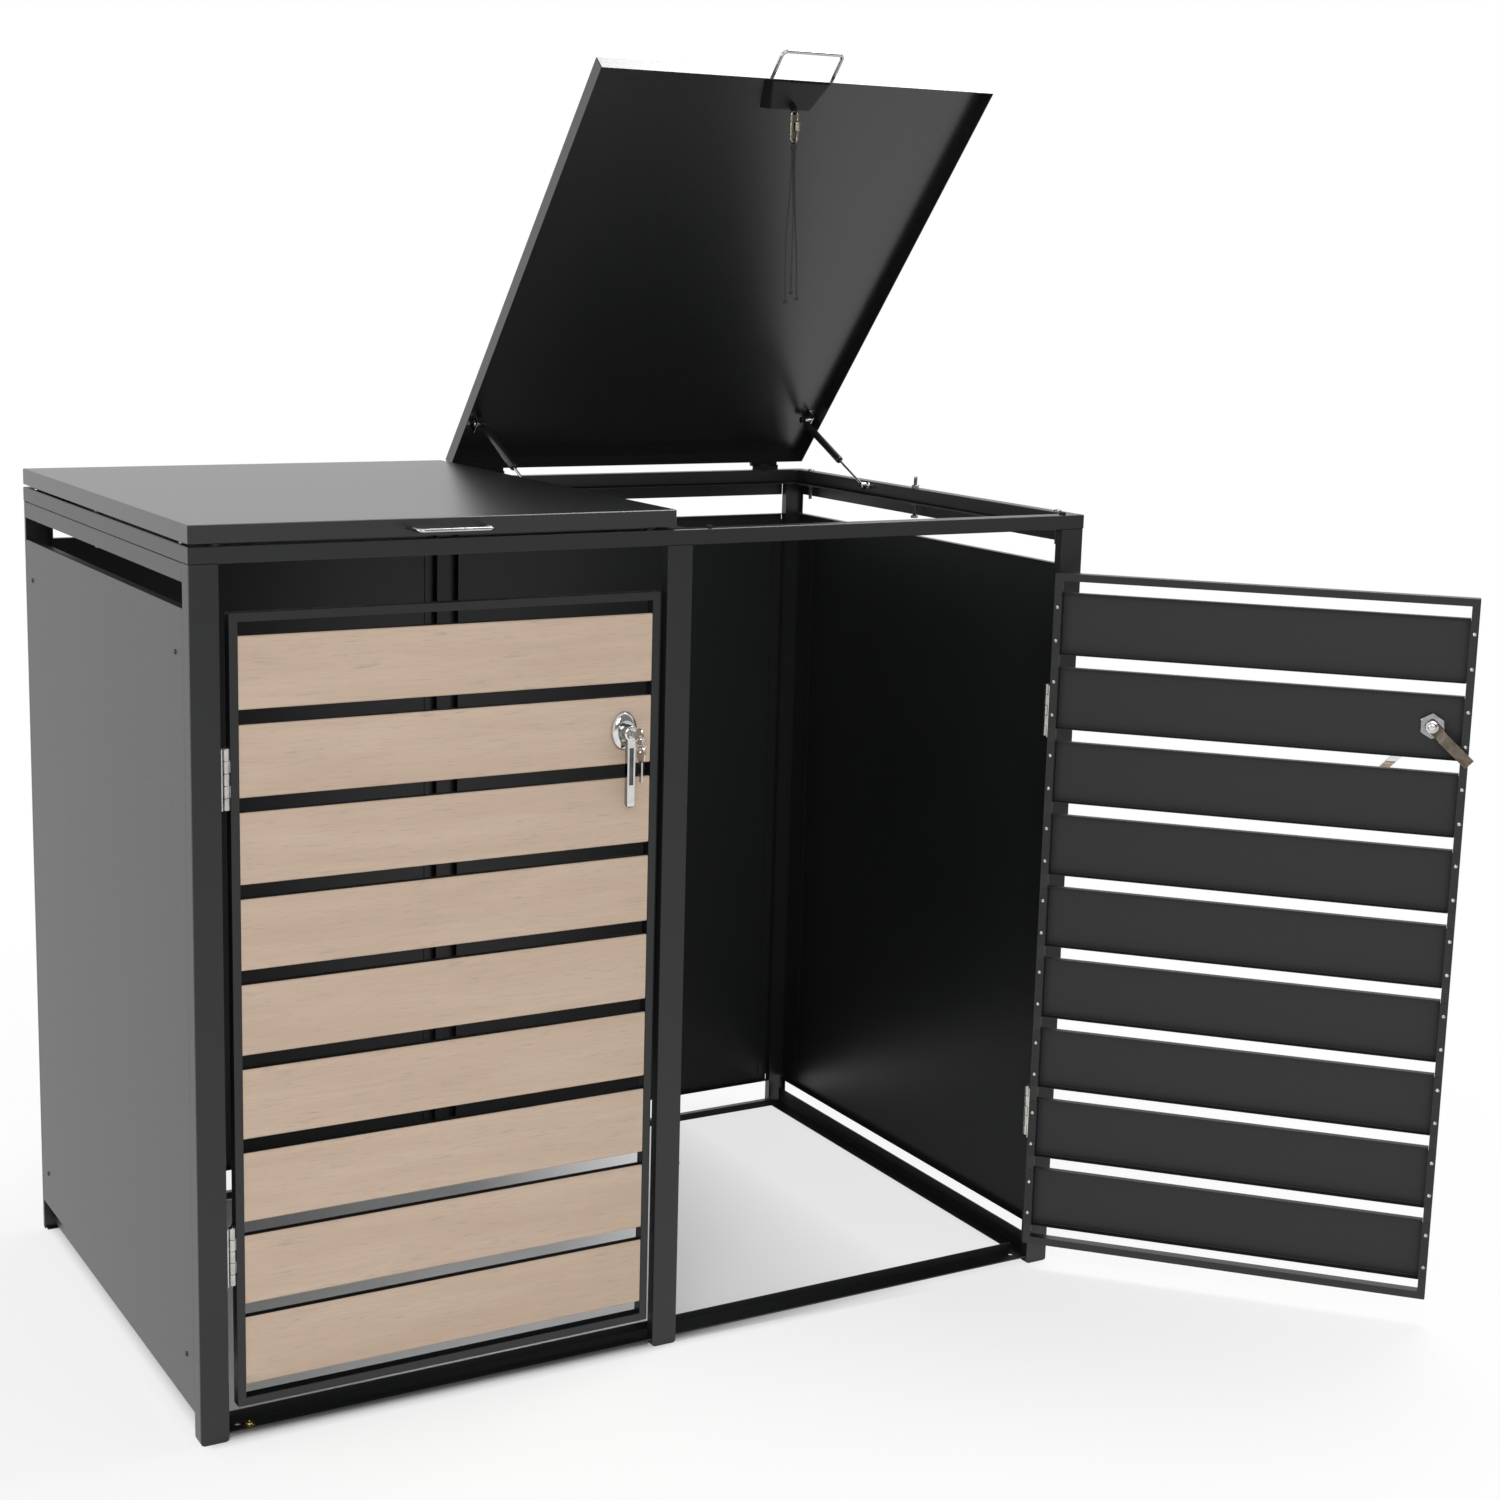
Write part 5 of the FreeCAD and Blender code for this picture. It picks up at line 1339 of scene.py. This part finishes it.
def leverBlade():
    values = lever
    low = -values["length"]
    front = lockPlace["boardFront"] - values["hubFrom"] - values["hubLength"] + 0.001
    half = values["wide"] / 2
    blade = plate("leverBlade", (-half, front, low), (half, front + values["deep"], 0.0), 0.0)
    resizeWhere(blade, lambda place: place.z < low / 2, (values["tip"] / values["wide"], 1.0, 1.0), origin)
    # round the tip: its two short upright edges
    mesh = blade.data
    editAll(blade)
    selectMesh("DESELECT")
    toMode("OBJECT")
    for edge in mesh.edges:
        ends = [mesh.vertices[number].co for number in edge.vertices]
        atTip = all(end.z < low * 0.9 for end in ends)
        edge.select = atTip and abs(ends[0].y - ends[1].y) > 0.001
    toMode("EDIT")
    bpy.ops.mesh.select_mode(type="EDGE")
    bpy.ops.mesh.bevel(offset=values["tip"] * 0.49, segments=8)
    toMode("OBJECT")
    soften(blade, values["edge"], 3, 50.0)
    stripWide, stripLong, stripStart = values["strip"]
    cutter = plate("leverStrip", (-stripWide / 2, front - 0.002, -stripStart - stripLong),
                   (stripWide / 2, front + values["stripDeep"], -stripStart), 0.0)
    cutOut(blade, cutter)
    blade.location = (lockPlace["x"], 0.0, lockPlace["z"])
    applyPlace(blade)
    return blade


def leverPiece():
    values = lever
    hub, length, edge = values["hub"], values["hubLength"], values["hubEdge"]
    rings = [(0.0, hub - 0.0004), (0.0004, hub), (length - edge, hub),
             (length - edge * 0.55, hub - edge * 0.14), (length - edge * 0.22, hub - edge * 0.42),
             (length - edge * 0.04, hub - edge * 0.8),
             (length, hub - edge), (length, 0.0062), (length - 0.0006, 0.0058)]
    hubBody = onLockLine(turnedPiece("leverHub", rings, 40), lockPlace["boardFront"] - values["hubFrom"])
    spindleLong = values["spindleEnd"] + values["hubFrom"] + 0.001
    spindle = turnedPiece("leverSpindle", [(0.0, values["spindle"] * 0.9), (0.0005, values["spindle"]),
                                           (spindleLong, values["spindle"])], 24)
    onLockLine(spindle, lockPlace["boardFront"] + values["spindleEnd"])
    whole = joined("lever", [hubBody, leverBlade(), spindle])
    whole.data.materials.append(materials["bright_nickel"])
    whole.data.materials.append(materials["lever_strip"])
    stripWide, stripLong, stripStart = values["strip"]
    floorY = lockPlace["boardFront"] - values["hubFrom"] - length + 0.001 + values["stripDeep"]
    for face in whole.data.polygons:
        place = face.center
        inWidth = abs(place.x - lockPlace["x"]) < stripWide / 2
        inLength = stripStart < lockPlace["z"] - place.z < stripStart + stripLong
        face.material_index = 1 if inWidth and inLength and abs(place.y - floorY) < 0.0001 else 0
    return whole


leftLever = leverPiece()
turnedLever = turnedAbout(copied(leftLever, "turnedLever"), (lockPlace["x"], 0.0, lockPlace["z"]), alongY,
                          lever["rightTurn"])
rightLever = doorOpened(mirrored(turnedLever, "rightLockLever"))
leftLever.name = "leftLockLever"
bpy.data.objects.remove(turnedLever, do_unlink=True)
stands(leftLever, "left_lock_handle")
stands(rightLever, "right_lock_handle")
print("locks made")


# Keys: one in the lock, one hanging from it on a ring
keys = {"bow": 0.011, "hole": 0.0034, "sheet": 0.0022, "stem": 0.009, "wide": 0.0075, "blade": 0.026,
        "bowY": -0.4326, "ringY": -0.4381, "ringZ": 0.87225, "ring": 0.0085, "wire": 0.0008,
        "secondZ": 0.85825}


def flatKey(name, blade, toothed):
    # drawn lying along +X round its bow, then stood where it belongs
    values = keys
    bow, half = values["bow"], values["sheet"] / 2
    edge = 0.0003
    disc = turnedPiece(name, [(-half, bow - edge), (-half + edge, bow), (half - edge, bow),
                              (half, bow - edge)], 40)
    hole = moved(turnedPiece("keyHole", [(-2 * half, values["hole"]), (2 * half, values["hole"])], 28),
                 (-bow * 0.5, 0.0, 0.0))
    cutOut(disc, hole)
    wide = values["wide"] / 2
    shaft = plate("keyShaft", (bow - 0.002, -wide, -half), (bow + blade, wide, half), 0.0003)
    if toothed:
        for number, depth in enumerate((0.0022, 0.0013, 0.0026, 0.0017, 0.0024)):
            x = bow + 0.006 + number * 0.004
            notch = plate("keyNotch", (-0.0016, -0.0016, -0.004), (0.0016, 0.0016, 0.004), 0.0)
            notch.rotation_euler = (0.0, 0.0, math.radians(45))
            notch.location = (x, wide + 0.0022 - depth, 0.0)
            applyPlace(notch)
            cutOut(shaft, notch)
    cutOut(shaft, plate("keyGroove", (bow + 0.001, -0.0006, half - 0.0005),
                        (bow + blade + 0.001, 0.0006, half + 0.001), 0.0))
    return joined(name, [disc, shaft])


def keySet():
    values = keys
    x, z = lockPlace["x"], lockPlace["z"]
    first = flatKey("firstKey", values["stem"], False)
    first.matrix_world = Matrix(((0.0, 0.0, 1.0, x), (1.0, 0.0, 0.0, values["bowY"]), (0.0, 1.0, 0.0, z),
                                 (0.0, 0.0, 0.0, 1.0)))
    applyPlace(first)
    second = flatKey("secondKey", values["blade"], True)
    second.matrix_world = Matrix(((0.0, 0.0, 1.0, x), (0.0, 1.0, 0.0, values["ringY"]),
                                  (-1.0, 0.0, 0.0, values["secondZ"]), (0.0, 0.0, 0.0, 1.0)))
    applyPlace(second)
    loop = wireRing("keyRing", (x, values["ringY"], values["ringZ"]), alongY, values["ring"], values["wire"])
    return joined("keySet", [first, loop, second])


stands(keySet(), "left_keys")
print("keys made")


cordPieces = {}
for node, points in cordRoutes.items():
    piece = cordLine("black_" + node, points)
    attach(piece, bodyOf[node])
    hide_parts(node)
    cordPieces[node] = piece
print("cords laid")


# Every carried-over node takes the finish of its slot
def dress(piece, material):
    if not piece.material_slots:
        piece.data.materials.append(material)
    piece.material_slots[0].material = material


# A few pieces of one plating look duller or brighter than their slot's own finish
finishes = {"lifting_link": "gilt_zinc", "frame_fasteners": "dull_zinc", "strut_frame_studs": "ball_steel",
            "left_lid_strut_brackets": "ball_steel", "right_lid_strut_brackets": "ball_steel"}


def finishOf(node):
    return oak[node] if node in oak else materials[finishes.get(node, slotOf[node])]


for name, node in nodes.items():
    dress(node, finishOf(name))
for name, piece in madePieces.items():
    dress(piece, finishOf(name))
for piece in cordPieces.values():
    dress(piece, materials["cord"])
print("nodes dressed")


# Studio: pale floor that clears to white away from the piece, soft lamps
studio = {
    "floorSize": 70.0,
    "floorColour": (0.86, 0.86, 0.86),
    "clearFrom": 0.7,
    "clearTo": 2.2,
    "clearLeast": 0.72,
    "shutPart": {"low": (-0.63, -0.38), "high": (0.0, 0.38), "fades": (0.03, 0.46, 0.03, 0.03)},
    "inside": {"low": (-0.63, -0.38), "high": (0.70, 0.38), "fades": (0.03, 0.40, 0.03, 0.03)},
    "frontFloor": {"near": -0.6, "far": -2.4, "level": 0.30},
    "frontRoom": {"near": -0.10, "far": -0.75, "level": 0.22},
    "world": (0.56, 0.56, 0.56),
    "lamps": {
        "sideLamp": {"place": (-4.6, 1.2, 1.2), "aim": (-0.6, 0.0, 0.4), "size": (3.0, 3.0), "power": 105.0},
        "topLamp": {"place": (1.95, 0.1, 4.3), "aim": (0.33, -0.15, 1.79), "size": (1.5, 1.5),
                    "power": 105.0},
        "frontLamp": {"place": (-3.0, -6.0, 4.0), "aim": (-0.2, 0.0, 0.3), "size": (4.4, 3.0),
                      "power": 165.0},
    },
}


def seenWhite(tree, direct=1.0, mirrored=1.0):
    # rays from the camera take the first share, those from a gloss or through glass the second
    path = tree.nodes.new("ShaderNodeLightPath")
    straight = mathNode(tree, "MULTIPLY", path.outputs["Is Camera Ray"], direct)
    passed = mathNode(tree, "MAXIMUM", path.outputs["Is Glossy Ray"], path.outputs["Is Transmission Ray"])
    return mathNode(tree, "MAXIMUM", straight, mathNode(tree, "MULTIPLY", passed, mirrored))


def besideBox(tree, place, box):
    # nought on the floor inside the box, where it keeps its own shade, and one beyond its fades
    ways, low, high, fades = parted(tree, place), box["low"], box["high"], box["fades"]
    edges = ((low[0], ways["X"]), (ways["X"], high[0]), (low[1], ways["Y"]), (ways["Y"], high[1]))
    away = [mathNode(tree, "DIVIDE", mathNode(tree, "SUBTRACT", far, near), fade)
            for (far, near), fade in zip(edges, fades)]
    outermost = mathNode(tree, "MAXIMUM", mathNode(tree, "MAXIMUM", away[0], away[1]),
                         mathNode(tree, "MAXIMUM", away[2], away[3]))
    return mathNode(tree, "MULTIPLY", outermost, 1.0, True)


def towardFront(tree, place, reach):
    # one beside and behind the piece, falling to a low level in front of it
    return rangeNode(tree, parted(tree, place)["Y"], reach["far"], reach["near"], reach["level"], 1.0,
                     "SMOOTHSTEP")


def floorMaterial():
    material, tree, shader, coords = newMaterial("floorPaint")
    place = coords.outputs["Object"]
    feed(tree, shader, {"Base Color": studio["floorColour"], "Roughness": 0.85, "Specular IOR Level": 0.2})
    reach = tree.nodes.new("ShaderNodeVectorMath")
    reach.operation = "LENGTH"
    tree.links.new(place, reach.inputs[0])
    clear = rangeNode(tree, reach.outputs["Value"], studio["clearFrom"], studio["clearTo"],
                      studio["clearLeast"], 1.0, "SMOOTHSTEP")
    direct = mathNode(tree, "MULTIPLY", clear, besideBox(tree, place, studio["shutPart"]))
    glossy = mathNode(tree, "MULTIPLY", besideBox(tree, place, studio["inside"]),
                      towardFront(tree, place, studio["frontFloor"]))
    white = tree.nodes.new("ShaderNodeEmission")
    mixSurface(tree, seenWhite(tree, direct, glossy), shader, white, "Material Output")
    return material


def addFloor():
    deselectAll()
    bpy.ops.mesh.primitive_plane_add(size=studio["floorSize"], location=(0.0, 0.0, -0.0005))
    floor = justMade("studioFloor")
    floor.data.materials.append(floorMaterial())


def addLamp(name, values):
    data = bpy.data.lights.new(name, "AREA")
    data.shape = "RECTANGLE"
    data.size, data.size_y = values["size"]
    data.energy = values["power"]
    lamp = bpy.data.objects.new(name, data)
    lamp.location = values["place"]
    aim = Vector(values["aim"]) - Vector(values["place"])
    lamp.rotation_euler = aim.to_track_quat("-Z", "Y").to_euler()
    scene.collection.objects.link(lamp)


def addWorld():
    world = bpy.data.worlds.new("studioLight")
    world.use_nodes = True
    tree = world.node_tree
    back = tree.nodes["Background"]
    feed(tree, back, {"Color": studio["world"]})
    # the camera sees plain white; a gloss sees the room darker on the viewer's side
    path = tree.nodes.new("ShaderNodeLightPath")
    coords = tree.nodes.new("ShaderNodeTexCoord")
    room = towardFront(tree, coords.outputs["Generated"], studio["frontRoom"])
    seen = tree.nodes.new("ShaderNodeBackground")
    feed(tree, seen, {"Color": grey(1.0), "Strength": mathNode(tree, "MAXIMUM",
                                                               path.outputs["Is Camera Ray"], room)})
    mixSurface(tree, seenWhite(tree), back, seen, "World Output")
    scene.world = world


addFloor()
addWorld()
for name, values in studio["lamps"].items():
    addLamp(name, values)
scene.view_settings.view_transform = "Standard"
print("studio lit")
